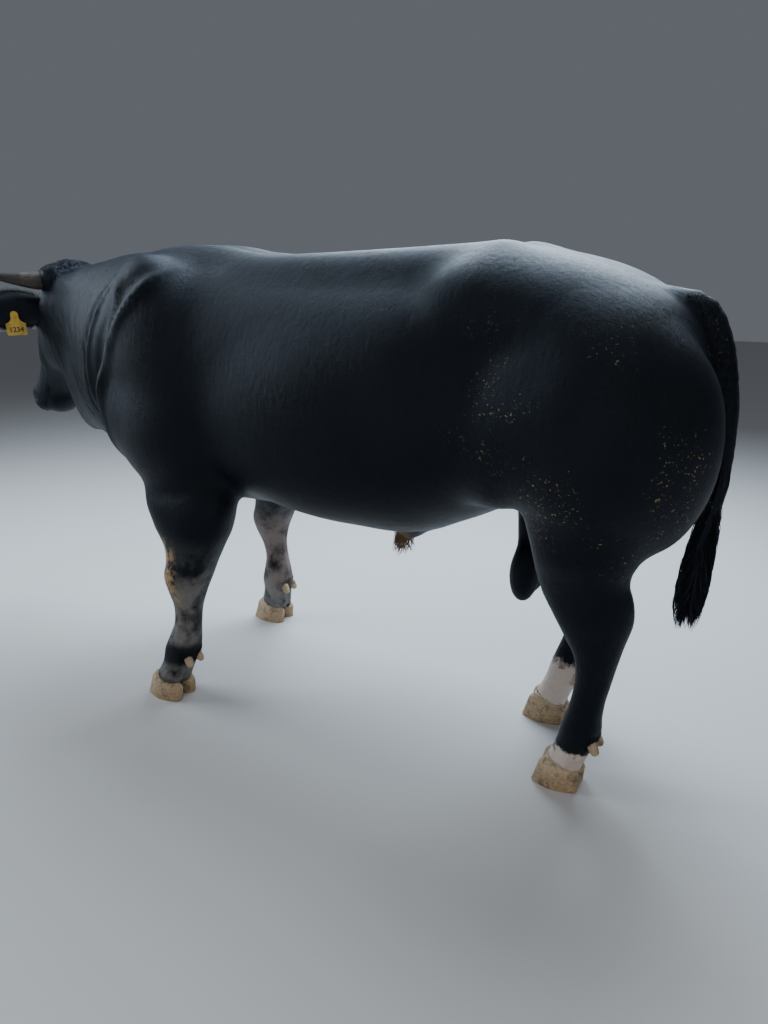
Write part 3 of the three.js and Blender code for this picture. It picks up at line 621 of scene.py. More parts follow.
# The shoulder's edge and the neck have ridges: x at each height, then how high and how wide each one is.
RIDGES = [
    (curve([850, 978, 1144, 1269, 1401], [-948, -926, -847, -752, -634]), 14, 24),
    (curve([780, 849, 944, 1148, 1300], [-858, -880, -900, -890, -800]), 9, 17),
    (curve([790, 918, 1133, 1270, 1400], [-965, -1004, -1000, -950, -860]), 11, 15),
]
RIDGE_HEIGHTS = ((740, 860), (1330, 1430))
HOLLOW = 0.8  # the hollow in front of a ridge, as a share of the ridge
FOLD_BACK = curve([830, 900, 1000, 1100, 1200, 1300, 1400],
                  [-985, -1000, -1018, -1020, -1008, -975, -915])
FOLD_SPAN = curve([830, 870, 1000, 1200, 1400], [60, 90, 190, 300, 300])
FOLDS, FOLD_HEIGHT = 7, 6.5
CREST_FOLDS, CREST_HEIGHT = 17, 3.0
CREST_START = (1190, 1290)
THROAT_END = (790, 900)


def wrinkle(q):
    """Rounded folds with narrow valleys, one to each whole number."""
    return np.abs(np.cos(np.pi * q)) ** 0.7 - 0.62


def relief(p):
    """How far the hide stands out from the flesh: the shoulder's ridges and the folds of the neck, which
    count forward from the shoulder by q, wander with the height and are finer on the crest."""
    x, y, z = p.T
    out = np.zeros(len(p))
    strength = ramp(np.abs(y), 20, 90) * window(z, *RIDGE_HEIGHTS)
    for line, height, width in RIDGES:
        d = x - line(z)
        out += strength * height * (bell(d, width) - HOLLOW * bell(d + 2.1 * width, 1.5 * width))
    wander = 0.05 * np.sin(z / 47) + 0.06 * np.sin(z / 83 + y / 60)
    q = (x - FOLD_BACK(z)) / FOLD_SPAN(z) + wander * ramp(-y, -20, 20) + 0.04 * np.sin(z / 61)
    band = window(q, (-1.12, -0.94), (-0.06, 0.06)) * ramp(z, *THROAT_END)
    crest = ramp(z, *CREST_START)
    uneven = 0.62 + 0.38 * np.sin(7.3 * q + z / 71 + np.sign(y)) * np.sin(z / 43 - 4.1 * q)
    drift = 0.30 * np.sin(q * 8.7 + z / 120 + y / 90) + 0.12 * np.sin(z / 31 + q * 17)
    out += band * uneven * (1 - 0.75 * crest) * FOLD_HEIGHT * wrinkle(q * FOLDS + drift)
    return out + band * uneven * crest * CREST_HEIGHT * wrinkle(q * CREST_FOLDS + 2.2 * drift)


# The lids open by these half sizes, and each crease and fold round them is a ring so many times as wide.
LID_HALF, LID_OPEN, LID_RISE = 21.0, 9.5, 1.0
POCKET = 11.0
LID_RIM, LID_RIM_AT = 1.6, 1.22
LID_CREASES, CREASE_DEPTH = (1.75, 2.25), 1.4
BROW_HALF, BROW_OPEN = 26.0, 12.0
BROW_FOLDS = ((3.1, 1.5), (3.8, 1.7), (4.6, 1.3))


def eye_relief(t, side, v):
    """The pocket between the lids, their raised rim, the creases round them and the brow's folds."""
    across, up = t - EYE[0], v - EYE[2]
    lid = np.hypot(across / LID_HALF, (up - LID_RISE) / LID_OPEN)
    out = LID_RIM * bell(lid - LID_RIM_AT, 0.16) - POCKET * (1 - ramp(lid, 0.82, 1.04))
    for ring in LID_CREASES:
        out -= CREASE_DEPTH * bell(lid - ring, 0.10) * ramp(np.abs(up), 4, 12)
    out = np.where((side > 80) & (np.hypot(across, up) < 60), out, 0)
    brow = np.hypot(across / BROW_HALF, (up - LID_RISE) / BROW_OPEN)
    over = (np.abs(across) < 110) * ramp(up, 6, 22) * ramp(side, 40, 70)
    for ring, depth in BROW_FOLDS:
        out -= depth * bell(brow - ring, 0.14) * over
    return out


# The mouth's height at each length of the head, and the left nostril's middle and half sizes.
MOUTH = curve([425, 500, 560, 600, 640], [-128, -133, -131, -126, -120])
MOUTH_DEPTH, LIP_HEIGHT = 5.5, 1.5
NOSTRIL = np.array([575, 38, -57])
NOSTRIL_HALF = np.array([21, 11, 15])
NOSTRIL_DEPTH, NOSTRIL_RIM = 14.0, 1.6
NOSE_START = 520


def muzzle_relief(t, side, v):
    """The line of the mouth, a full lip over it, the nostrils and their rims, and the lip's creases."""
    line = v - MOUTH(t)
    out = LIP_HEIGHT * ramp(t, 440, 480) * bell(line - 9, 6)
    out -= MOUTH_DEPTH * ramp(t, 425, 450) * bell(line, 3.2)
    hole = np.linalg.norm((np.stack([t, side, v], 1) - NOSTRIL) / NOSTRIL_HALF, axis=1)
    nostril = NOSTRIL_RIM * bell(hole - 1.45, 0.25) - NOSTRIL_DEPTH * (1 - ramp(hole, 0.65, 1.15))
    creased = ramp(t, 455, 500) * ramp(side, 20, 50) * ramp(v, -105, -80)
    return out + np.where(t > NOSE_START, nostril, 0) - 0.6 * wrinkle(t / 11 + v / 60) * creased


def face_relief(p):
    """The eyes and the muzzle, with a vein on each cheek, the hollows beside the nose, on the forehead
    and at the temples, and the folds of the cheek before the throat."""
    t, s, v = to_head(p).T
    side = np.abs(s)
    out = eye_relief(t, side, v) + muzzle_relief(t, side, v)
    vein = 26 * np.sin(t / 70) - 0.35 * (t - 300) - 70
    out += 1.4 * bell(v - vein, 5) * window(t, (235, 280), (430, 480)) * ramp(side, 45, 65)
    out -= 3.0 * bell(side - 44, 14) * window(t, (210, 300), (440, 500)) * ramp(v, -60, -20)
    out -= 3.5 * bell(np.hypot(side, (t - 130) / 1.6), 46) * ramp(v, -40, 0)
    out -= 5.0 * bell(np.hypot(t - 92, v + 34), 26) * ramp(side, 60, 90)
    cheek = window(t, (120, 170), (260, 330)) * ramp(-v, 70, 110) * ramp(side, 50, 80)
    ahead = (p - POLL) @ AHEAD
    return out + 1.5 * cheek * wrinkle(ahead / 34 + 0.12 * np.sin(p[:, 2] / 40))


CLEFT_DEPTH, CLEFT_WIDTH, CLEFT_END = 7.0, 9.0, (95, 150)
TENDON_DEPTH, SHANK = 4.5, ((175, 240), (350, 420))


def foot_relief(p):
    """The groove between the toes over the hoof, and the hollow in front of each shank's tendon."""
    x, y, z = p.T
    out = np.zeros(len(p))
    for leg in LEGS:
        cx, cy, a, b = (f(z) for f in leg.sizes)
        ahead, aside = np.abs(x - cx), np.abs(y - cy)
        groove = (1 - ramp(z, *CLEFT_END)) * bell(aside, CLEFT_WIDTH) * ramp(ahead, 12, 40)
        tendon = window(z, *SHANK) * bell((x - cx) / a - 0.28, 0.22) * ramp(aside / b, 0.4, 0.8)
        mine = (aside < 130) & (ahead < 190) & (z < 640)
        out -= np.where(mine, CLEFT_DEPTH * groove + TENDON_DEPTH * tendon, 0)
    return out


hide = hide + normals * (relief(hide) + face_relief(hide) + foot_relief(hide))[:, None]
skin.vertices.foreach_set("co", to_frame(hide).astype(np.float32).ravel())
skin.polygons.foreach_set("use_smooth", np.ones(len(skin.polygons), bool))
skin.update()

# Coat colours
# Short glossy black hair with a blue-grey sky sheen painted along the back and crest, dusty grey shanks,
# pale hind pasterns, tan mud on the near knee and dry specks of straw and dung on the thighs.


class Wire:
    """One output of a shader node. Sums and products of wires add Math nodes to the same tree."""

    def __init__(self, tree, socket=None):
        self.tree = tree
        self.socket = socket

    def add(self, kind, settings=None, sockets=None, out=0):
        """Adds a node of that kind: its settings come first, then the values or links of its sockets."""
        node = self.tree.nodes.new(kind)
        for key, value in (settings or {}).items():
            setattr(node, key, value)
        for key, value in (sockets or {}).items():
            if isinstance(value, Wire):
                self.tree.links.new(value.socket, node.inputs[key])
            else:
                node.inputs[key].default_value = value
        return Wire(self.tree, node.outputs[out]) if node.outputs else None

    def math(self, operation, *values):
        """One operation of a Math node."""
        return self.add("ShaderNodeMath", {"operation": operation}, dict(enumerate(values)))

    def __add__(self, other):
        return self.math("ADD", self, other)

    __radd__ = __add__

    def __sub__(self, other):
        return self.math("SUBTRACT", self, other)

    def __rsub__(self, other):
        return self.math("SUBTRACT", other, self)

    def __mul__(self, other):
        return self.math("MULTIPLY", self, other)

    __rmul__ = __mul__

    def __truediv__(self, other):
        return self.math("DIVIDE", self, other)

    def step(self, start, end):
        """0 before the start, 1 past the end, smooth between."""
        spans = {"Value": self, "From Min": start, "From Max": end}
        return self.add("ShaderNodeMapRange", {"interpolation_type": "SMOOTHSTEP"}, spans)

    def band(self, start, end, soft):
        """1 between two values and 0 outside them."""
        return self.step(start - soft, start + soft) * (1 - self.step(end - soft, end + soft))

    def root(self):
        """The square root."""
        return self.math("SQRT", self)

    def size(self):
        """The value without its sign."""
        return self.math("ABSOLUTE", self)

    def axis(self, name):
        """One of X, Y and Z of a place."""
        return self.add("ShaderNodeSeparateXYZ", None, {"Vector": self}, name)

    def along(self, way, start=(0, 0, 0)):
        """How far the place lies along a direction from a start, in metres."""
        kind = "ShaderNodeVectorMath"
        moved = self.add(kind, {"operation": "SUBTRACT"}, {0: self, 1: tuple(start)})
        return moved.add(kind, {"operation": "DOT_PRODUCT"}, {0: moved, 1: tuple(way)}, "Value")

    def stretched(self, scale, turn=(0, 0, 0)):
        """The same place turned, then scaled on each axis."""
        turned = self.add("ShaderNodeMapping", None, {"Vector": self, "Rotation": turn})
        return turned.add("ShaderNodeMapping", None, {"Vector": turned, "Scale": scale})

    def noise(self, scale, detail=4.0, rough=0.55):
        """Smooth noise at each place, about 0 to 1, with that many waves in a metre."""
        return self.add("ShaderNodeTexNoise", None,
                        {"Vector": self, "Scale": scale, "Detail": detail, "Roughness": rough})

    def mix(self, first, second):
        """Two colours mixed by this wire."""
        return self.add("ShaderNodeMix", {"data_type": "RGBA"}, {0: self, 6: first, 7: second}, 2)


def finish(name):
    """A new material and the place of each point in the body's frame, in metres."""
    made = bpy.data.materials.new(name)
    made.use_nodes = True
    made.node_tree.nodes.clear()
    start = Wire(made.node_tree)
    here = start.add("ShaderNodeTexCoord", out="Object")
    return made, start.add("ShaderNodeMapping", None, {"Vector": here, "Location": tuple(-SHIFT)})


def shade(at, height=None, depth=0.001, **sockets):
    """Ends a material in one glossy shader, with a bump of that depth where it has a height."""
    values = {key.replace("_", " "): value for key, value in sockets.items()}
    if height is not None:
        values["Normal"] = at.add("ShaderNodeBump", None, {"Height": height, "Distance": depth})
    shader = at.add("ShaderNodeBsdfPrincipled", None, values)
    at.add("ShaderNodeOutputMaterial", None, {"Surface": shader})


BLACK = (0.0022, 0.0027, 0.0046, 1)
SOOT = (0.0044, 0.0049, 0.0070, 1)
# the painted sheen: blue-grey standing in for the sky's reflection on the black hair of the back
PAINTED_SHEEN_GREY = (0.022, 0.029, 0.045, 1)
DUST = (0.30, 0.285, 0.27, 1)
RUST_DUST = (0.30, 0.22, 0.19, 1)
MUD = (0.46, 0.30, 0.14, 1)
STRAW = (0.34, 0.26, 0.13, 1)
WHITE = (0.66, 0.56, 0.50, 1)
RUST = (0.34, 0.21, 0.11, 1)
TRUNK_LIE = math.radians(-24)
# Where the colours lie, in metres in the body's frame: from where to where each one comes or goes.
# the heights over which the painted sheen on the back fades in
PAINTED_SHEEN_FROM = (1.22, 1.42)
FORE_UNTIL = (-0.2, -0.1)
HIND_FROM = (0.3, 0.35)
DUST_UNTIL = (0.36, 0.62)
FAR_SIDE = (0.10, 0.15)
RED_SHANK = (0.18, 0.46, 0.06)
DARK_PASTERN = (0.135, 0.215, 0.018)
MUD_FRONT = (-0.60, -0.555)
MUD_OUTER = (-0.345, -0.285)
MUD_HEIGHT = (0.36, 0.57, 0.05)
PALE_NEAR, PALE_FAR = 0.125, 0.21
SPECK_LENGTH, SPECK_HEIGHT = (0.26, 0.44), (0.72, 1.26, 0.08)
TIP_LENGTH, TIP_HEIGHT = (-0.02, 0.07, 0.03), ((0.45, 0.5), (0.62, 0.66))
PAD_LENGTH, PAD_HEIGHT = (0.515, 0.54), (-0.115, -0.095)
LEG_HAIR_UNTIL = (0.62, 0.8)


def coat_finish(name, bump):
    """The hair's colour by its place on the body, with streaks along its lie."""
    made, at = finish(name)
    x, y, z = (at.axis(axis) for axis in "XYZ")
    broad = at.noise(3.1, 3.0)
    blotch = at.noise(11.0, 4.0, 0.6)
    fine = at.noise(42.0, 5.0, 0.65)
    fore = 1 - x.step(*FORE_UNTIL)
    hind = x.step(*HIND_FROM)
    colour = broad.step(0.35, 0.7).mix(BLACK, SOOT)
    # A painted sky sheen: the back and the crest are painted a lighter blue-grey, in a soft mottle.
    back = z.step(*PAINTED_SHEEN_FROM) * blotch.step(0.35, 0.75)
    colour = (back * 0.32).mix(colour, PAINTED_SHEEN_GREY)
    # The fore shanks are dusty from the knee down, and the far one is redder.
    dust = fore * (1 - z.step(*DUST_UNTIL)) * blotch.step(0.34, 0.60)
    colour = (dust * (0.45 + 0.4 * fine)).mix(colour, DUST)
    far_fore = fore * y.step(*FAR_SIDE) * z.band(*RED_SHANK)
    colour = (far_fore * blotch.step(0.25, 0.6) * 0.55).mix(colour, RUST_DUST)
    # A band round the near fore pastern is darkened back to black.
    pastern = fore * (1 - y.step(-0.1, 0.1)) * z.band(*DARK_PASTERN)
    colour = (pastern * 0.94).mix(colour, BLACK)
    # Tan mud sticks to the front of the near knee.
    front = (1 - x.step(*MUD_FRONT)) * fore * (1 - y.step(*MUD_OUTER))
    mud = front * z.band(*MUD_HEIGHT) * at.noise(21.0, 6.0, 0.7).step(0.46, 0.57)
    colour = (mud * 0.85).mix(colour, MUD)
    # The hind pasterns are pale, the far one up to the lower cannon.
    edge = (fine - 0.5) * 0.09
    pale_top = PALE_NEAR + (PALE_FAR - PALE_NEAR) * y.step(-0.05, 0.05)
    pale = hind * (1 - (z + edge - pale_top).step(-0.012, 0.012))
    colour = (pale * (0.75 + 0.25 * blotch.step(0.2, 0.5))).mix(colour, WHITE)
    # Small specks of straw and dung lie on the thighs.
    specks = at.noise(150.0, 2.0, 0.5).step(0.65, 0.685) * at.noise(6.5, 3.0).step(0.50, 0.62)
    thigh = x.step(*SPECK_LENGTH) * z.band(*SPECK_HEIGHT)
    colour = (specks * thigh * 0.75).mix(colour, STRAW)
    # The sheath has a rusty tip.
    tip_from, tip_until = TIP_HEIGHT
    tip = x.band(*TIP_LENGTH) * (1 - z.step(*tip_until)) * z.step(*tip_from)
    colour = (tip * 0.6).mix(colour, RUST)
    # The bare pad of the nose is smooth, wet and full of small pores.
    down, off = (at.along(way, POLL / 1000) for way in (DOWN_FACE, OFF_FACE))
    nose = down.step(*PAD_LENGTH) * off.step(*PAD_HEIGHT)
    pores = at.add("ShaderNodeTexVoronoi", None, {"Vector": at, "Scale": 420.0}, "Distance")
    # Streaks of hair run down the legs and back along the trunk.
    trunk_lie = at.stretched((60, 700, 700), (0, TRUNK_LIE, 0)).noise(1.0, 4.0, 0.6)
    leg_lie = at.stretched((700, 700, 60)).noise(1.0, 4.0, 0.6)
    low = 1 - z.step(*LEG_HAIR_UNTIL)
    streaks = trunk_lie * (1 - low) + leg_lie * low
    ripple = at.stretched((75, 75, 24)).noise(1.0, 3.0, 0.55)
    rough = 0.37 + 0.16 * streaks + 0.10 * blotch + 0.25 * dust + 0.25 * pale - 0.22 * nose
    hairs = streaks * 0.9 + fine * 0.7 + blotch * 1.4 + ripple * 0.9
    height = hairs * (1 - nose) + pores * nose
    shade(at, height if bump else None, bump, Base_Color=colour, Roughness=rough,
          Specular_IOR_Level=0.20, Specular_Tint=(0.64, 0.80, 1.0, 1), Sheen_Weight=0.014,
          Sheen_Roughness=0.35, Sheen_Tint=(0.45, 0.66, 1.0, 1))
    return made


hide_finish = coat_finish("hide_finish", 0.0016)
hair_finish = coat_finish("hair_finish", 0)
FLESH = ["torso", "neck", "head", "tail_root", "tail", "sheath", "scrotum"]
FLESH += [f"{leg.pair}_leg_{leg.hand}" for leg in LEGS]
place(skin, hide_finish, "coat", *FLESH)

# Eyes
# A wet brown ball deep between the lids, with a clear bulge over the iris and a long level pupil.
# It is one closed shell of rings round the line of sight. Its UV map "gaze" has that line in the middle.
SIDES = (("left", 1), ("right", -1))
EYE_RINGS = 40
EYE_COLUMNS = 48
EYE_POLE = 0.02
CORNEA = 1.6
CORNEA_SPREAD = 0.62
PUPIL_LONG, PUPIL_TALL = 0.105, 0.05
IRIS_EDGE = (0.235, 0.26)
PUPIL = (0.002, 0.002, 0.003, 1)
IRIS_DARK, IRIS_BROWN = (0.022, 0.010, 0.005, 1), (0.060, 0.026, 0.010, 1)
EYE_WHITE = (0.10, 0.075, 0.062, 1)


def ring_quads(rows, columns):
    """Quads between rings of points numbered ring by ring, each ring closed."""
    i = np.repeat(np.arange(rows - 1), columns)
    j = np.tile(np.arange(columns), rows - 1)
    k = (j + 1) % columns
    return np.stack([i * columns + j, i * columns + k, (i + 1) * columns + k, (i + 1) * columns + j], 1)


def around(rows, columns):
    """Two grids over rings: how far along each ring is, from 0 to 1, and the turn of each point."""
    return np.meshgrid(np.linspace(0, 1, rows), np.linspace(0, 2 * math.pi, columns, endpoint=False),
                       indexing="ij")


def closed_mesh(name, rings):
    """A closed skin over rings of points, with a fan to the middle of the first and of the last ring.
    It is turned outwards: the tetrahedra from its middle to its faces add up to more than 0."""
    rows, columns, _ = rings.shape
    points = np.concatenate([rings.reshape(-1, 3), rings[0].mean(0)[None], rings[-1].mean(0)[None]])
    j = np.arange(columns)
    k = (j + 1) % columns
    start, end = rows * columns, (rows - 1) * columns
    quads = ring_quads(rows, columns)
    fans = np.concatenate([
        np.stack([np.full(columns, start), k, j], 1),
        np.stack([np.full(columns, start + 1), end + j, end + k], 1),
    ])
    triangles = np.concatenate([quads[:, :3], quads[:, [0, 2, 3]], fans])
    a, b, c = (points[triangles[:, n]] - points.mean(0) for n in range(3))
    if np.sum(np.cross(a, b) * c) < 0:
        quads, fans = quads[:, ::-1], fans[:, ::-1]
    return new_mesh(name, points, quads, fans)


def set_uv(mesh, name, uv):
    """Gives a mesh a UV map from one place for each of its points."""
    corners = np.empty(len(mesh.loops), np.int32)
    mesh.loops.foreach_get("vertex_index", corners)
    mesh.uv_layers.new(name=name).data.foreach_set("uv", uv[corners].astype(np.float32).ravel())


eye_finish, eye_at = finish("eye_finish")
gaze = eye_at.add("ShaderNodeUVMap", {"uv_map": "gaze"})
gaze_u, gaze_v = (gaze.axis(axis) - 0.5 for axis in "XY")
gaze_square = gaze_u * gaze_u + gaze_v * gaze_v
slot_u, slot_v = gaze_u / PUPIL_LONG, gaze_v / PUPIL_TALL
pupil = 1 - (slot_u * slot_u + slot_v * slot_v).step(0.8, 1.15)
fibres = gaze.stretched((9.0, 30.0, 1.0)).noise(4.0, 4.0)
iris = fibres.step(0.3, 0.7).mix(IRIS_DARK, IRIS_BROWN)
ball_colour = gaze_square.root().step(*IRIS_EDGE).mix(iris, EYE_WHITE)
shade(eye_at, Base_Color=pupil.mix(ball_colour, PUPIL), Roughness=0.06,
      Specular_IOR_Level=0.6, Coat_Weight=0.6, Coat_Roughness=0.02)

for name, side in SIDES:
    t, turn = around(EYE_RINGS, EYE_COLUMNS)
    polar = EYE_POLE + (math.pi - 2 * EYE_POLE) * t
    reach = EYE_RADIUS + CORNEA * bell((polar / CORNEA_SPREAD) ** 2, 1)
    off_sight = np.cos(turn)[..., None] * DOWN_FACE + np.sin(turn)[..., None] * OFF_FACE
    ball = np.cos(polar)[..., None] * side * LEFT + np.sin(polar)[..., None] * off_sight
    rings = head_point(EYE[0], side * EYE[1], EYE[2]) + reach[..., None] * ball
    eye = closed_mesh(f"eyeball_{name}", rings)
    spread = 0.5 + polar / math.pi * 0.5 * np.stack([np.cos(turn), np.sin(turn)])
    set_uv(eye, "gaze", np.concatenate([spread.reshape(2, -1).T, [(0.5, 0.5), (1.0, 0.5)]]))
    place(eye, eye_finish, "wet_eye", f"eye_{name}")

# Horns
# Short, thick at the root, curving out, forward and up to a blunt tip: dark horn with rings of growth
# near the skin, scuffed paler along the outside and almost black at the tip.
HORN_ROOT = (30, 74, -14)  # the left one's, in the head's own frame
HORN_PATH = np.array([(0, 0, -4), (90, 22, 2), (172, 70, 16), (208, 132, 40)], float)  # out, ahead, up
HORN_SIZE = curve([0, 0.2, 0.4, 0.6, 0.8, 0.95, 1], [34, 31.5, 23.5, 15.5, 8.5, 3.6, 1.2])
HORN_RINGS = 110
HORN_COLUMNS = 40
GROWTH_HEIGHT, FLUTE_HEIGHT = 0.7, 0.35
HORN_DARK, HORN_GREY = (0.020, 0.018, 0.016, 1), (0.060, 0.050, 0.042, 1)
HORN_SCUFF, HORN_TIP = (0.125, 0.108, 0.092, 1), (0.009, 0.008, 0.008, 1)
TIP_OUT = (0.16, 0.26)


def sweep(path, size, side_way):
    """Rings of points round a path, each in the plane across it, with a size for each ring and turn."""
    ahead = unit(np.gradient(path, axis=0))
    across = unit(np.cross(ahead, side_way))
    up = np.cross(across, ahead)
    turn = np.linspace(0, 2 * math.pi, size.shape[1], endpoint=False)
    ring = np.cos(turn)[None, :, None] * across[:, None] + np.sin(turn)[None, :, None] * up[:, None]
    return path[:, None] + ring * size[..., None]


horn_finish, horn_at = finish("horn_finish")
horn_out = horn_at.along(LEFT, POLL / 1000).size()
grain = horn_at.stretched((300, 36, 300)).noise(1.0, 5.0, 0.6)
scuff = horn_at.noise(26.0, 5.0, 0.65)
horn_colour = grain.step(0.3, 0.7).mix(HORN_DARK, HORN_GREY)
horn_colour = (scuff.step(0.52, 0.68) * 0.6).mix(horn_colour, HORN_SCUFF)
horn_colour = (horn_out.step(*TIP_OUT) * 0.85).mix(horn_colour, HORN_TIP)
shade(horn_at, grain + scuff, 0.0012, Base_Color=horn_colour, Roughness=0.34 + 0.25 * scuff,
      Specular_IOR_Level=0.5)
for name, side in SIDES:
    t, turn = around(HORN_RINGS, HORN_COLUMNS)
    along = t[:, 0]
    out, ahead, up = (curve([0, 0.36, 0.72, 1], column)(along)[:, None] for column in HORN_PATH.T)
    root = head_point(HORN_ROOT[0], side * HORN_ROOT[1], HORN_ROOT[2])
    growth = GROWTH_HEIGHT * np.sin(260 * t ** 0.8) * (1 - ramp(t, 0.35, 0.6))
    flute = FLUTE_HEIGHT * np.sin(5 * turn + 9 * t)
    size = HORN_SIZE(t) + (growth + flute) * (1 - ramp(t, 0.8, 1))
    rings = sweep(root + out * side * LEFT + ahead * AHEAD + up * UP, size, UP)
    place(closed_mesh(f"horn_piece_{name}", rings), horn_finish, "horn", f"horn_{name}")

# Ears
# Big level leaves with the hollow to the front: gristle under thin black skin, rolled into a tube at the
# root, with ribs inside the cup. Each is one closed wall round an arc that opens towards the tip.
EAR_ROOT = (112, 108, -88)  # the left one's, in the head's own frame
EAR_LENGTH, EAR_SUNK, EAR_WALL = 275, 30, 5.0
EAR_LIFT, EAR_BOW = 12, 16
EAR_WAY, EAR_BACK = (0.46, 0.86, -0.02), (-0.86, 0.46, 0.1)  # ahead, out and up
RIB_HEIGHT, CREASE_HEIGHT = 1.3, 0.35
EAR_HALF = curve([0, 0.12, 0.35, 0.6, 0.8, 0.93, 0.985, 1], [30, 38, 62, 66, 50, 24, 9, 3])
EAR_WRAP = curve([0, 0.15, 0.4, 0.75, 1], [125, 110, 72, 58, 40])
EAR_RINGS = 90
EAR_COLUMNS = 96


class Ear:
    """One ear's place: its way out, its back, its rise, and the arc of its wall at each length."""

    def __init__(self, side):
        self.side = side
        self.root = head_point(EAR_ROOT[0], side * EAR_ROOT[1], EAR_ROOT[2])
        far, back = (AHEAD * ahead + LEFT * out * side + UP * up
                     for ahead, out, up in (EAR_WAY, EAR_BACK))
        self.far = unit(far)
        self.back = unit(back - self.far * (back @ self.far))
        self.up = np.cross(self.far, self.back) * side

    def arc(self, t):
        """The middle, the radius and the half angle of the wall's arc at lengths t."""
        wrap = np.radians(EAR_WRAP(t))
        radius = EAR_HALF(t) / np.sin(np.minimum(wrap, math.pi / 2))
        lift = EAR_LIFT * np.sin(math.pi * t)
        behind = EAR_BOW * np.sin(math.pi * t * 0.9) - radius
        middle = self.root + (EAR_LENGTH * t - EAR_SUNK)[..., None] * self.far
        middle = middle + lift[..., None] * self.up + behind[..., None] * self.back
        return middle, radius, wrap

    def point(self, t, across, inward):
        """Places on the wall: across from -1 to 1 along the arc, inward from its outer face."""
        middle, radius, wrap = self.arc(t)
        turn = wrap * across
        out = np.cos(turn)[..., None] * self.back + np.sin(turn)[..., None] * self.up
        return middle + (radius - inward)[..., None] * out, out


EARS = {name: Ear(side) for name, side in SIDES}
for name, ear in EARS.items():
    t, turn = around(EAR_RINGS, EAR_COLUMNS)
    wall = EAR_WALL * (1 - 0.45 * t)
    across = np.cos(turn) * (1 + 0.012 * np.sin(23 * t) * np.abs(np.cos(turn)))
    face = np.sign(np.sin(turn)) * np.abs(np.sin(turn)) ** 0.35
    ribs = RIB_HEIGHT * np.cos(across * 16) * bell(across, 0.6) * window(t, (0.2, 0.4), (0.75, 0.95))
    creases = CREASE_HEIGHT * np.cos(across * 9) * ramp(t, 0.1, 0.3)
    inward = wall / 2 * (1 - face) + np.where(face < 0, ribs, creases)
    rings, _ = ear.point(t, across, inward)
    place(closed_mesh(f"ear_piece_{name}", rings), hide_finish, "coat", f"ear_{name}")

# Ear tags
# A soft amber plastic flag on the back of each ear, held by a stud through the ear to a button in the
# hollow. Its four plain raised digits are black.
TAG_HALF, TAG_FOOT, TAG_SHOULDER = 34.0, -74.0, -32.0
TAG_CORNER, TAG_KNOB, TAG_NECK = 6.0, 13.0, (-24.0, -8.0)
TAG_THICK, TAG_EDGE = 3.0, 0.9
TAG_LIFT, TAG_ALONG, TAG_DROP = 1.5, 0.5, -20.0
PIN, CAP, BUTTON, BUTTON_THICK = 4.2, 8.0, 9.0, 3.0
CAP_SUNK, CAP_HIGH = 0.5, 4.0
DIGITS = "1234"
DIGIT_SIZE, DIGIT_WIDER, DIGIT_TALLER = 21.0, 1.18, 1.25
DIGIT_FOOT, DIGIT_RELIEF, DIGIT_BOLD, DIGIT_GAP = -62.0, 0.25, 0.35, 0.1
AMBER, AMBER_SOILED = (0.66, 0.43, 0.060, 1), (0.46, 0.29, 0.050, 1)
INK, INK_WORN = (0.010, 0.009, 0.009, 1), (0.030, 0.025, 0.020, 1)


def bow(start, control, end, count=12):
    """A quadratic curve between two points, without its last point."""
    t = np.linspace(0, 1, count, endpoint=False)[:, None]
    return start * (1 - t) ** 2 + control * 2 * t * (1 - t) + end * t ** 2


def flag_outline():
    """Half of the flag from the foot to the top of the knob, with a rounded corner, and its mirror."""
    half = np.concatenate([
        [(0.0, TAG_FOOT)],
        bow(np.array([TAG_HALF - TAG_CORNER, TAG_FOOT]), np.array([TAG_HALF, TAG_FOOT]),
            np.array([TAG_HALF, TAG_FOOT + TAG_CORNER])),
        bow(np.array([TAG_HALF, TAG_SHOULDER]), *(np.array([TAG_KNOB, z]) for z in TAG_NECK)),
        [(TAG_KNOB * math.cos(a), TAG_KNOB * math.sin(a)) for a in np.linspace(0, math.pi / 2, 14)],
    ])
    return np.concatenate([half, (half * (-1, 1))[-2:0:-1]])


def inset(outline, by):
    """The same outline drawn in by a distance, along the normal of each corner."""
    way = unit(np.roll(outline, -1, 0) - np.roll(outline, 1, 0))
    return outline + by * np.stack([-way[:, 1], way[:, 0]], 1)


def disc(radius, low, high, edge=0.8, columns=40):
    """Rings of a flat round button with softened edges, in the tag's own frame."""
    turn = np.linspace(0, 2 * math.pi, columns, endpoint=False)
    rows = [(radius - edge, low), (radius, low + edge), (radius, high - edge), (radius - edge, high)]
    return np.array([[(r * math.cos(a), r * math.sin(a), z) for a in turn] for r, z in rows])


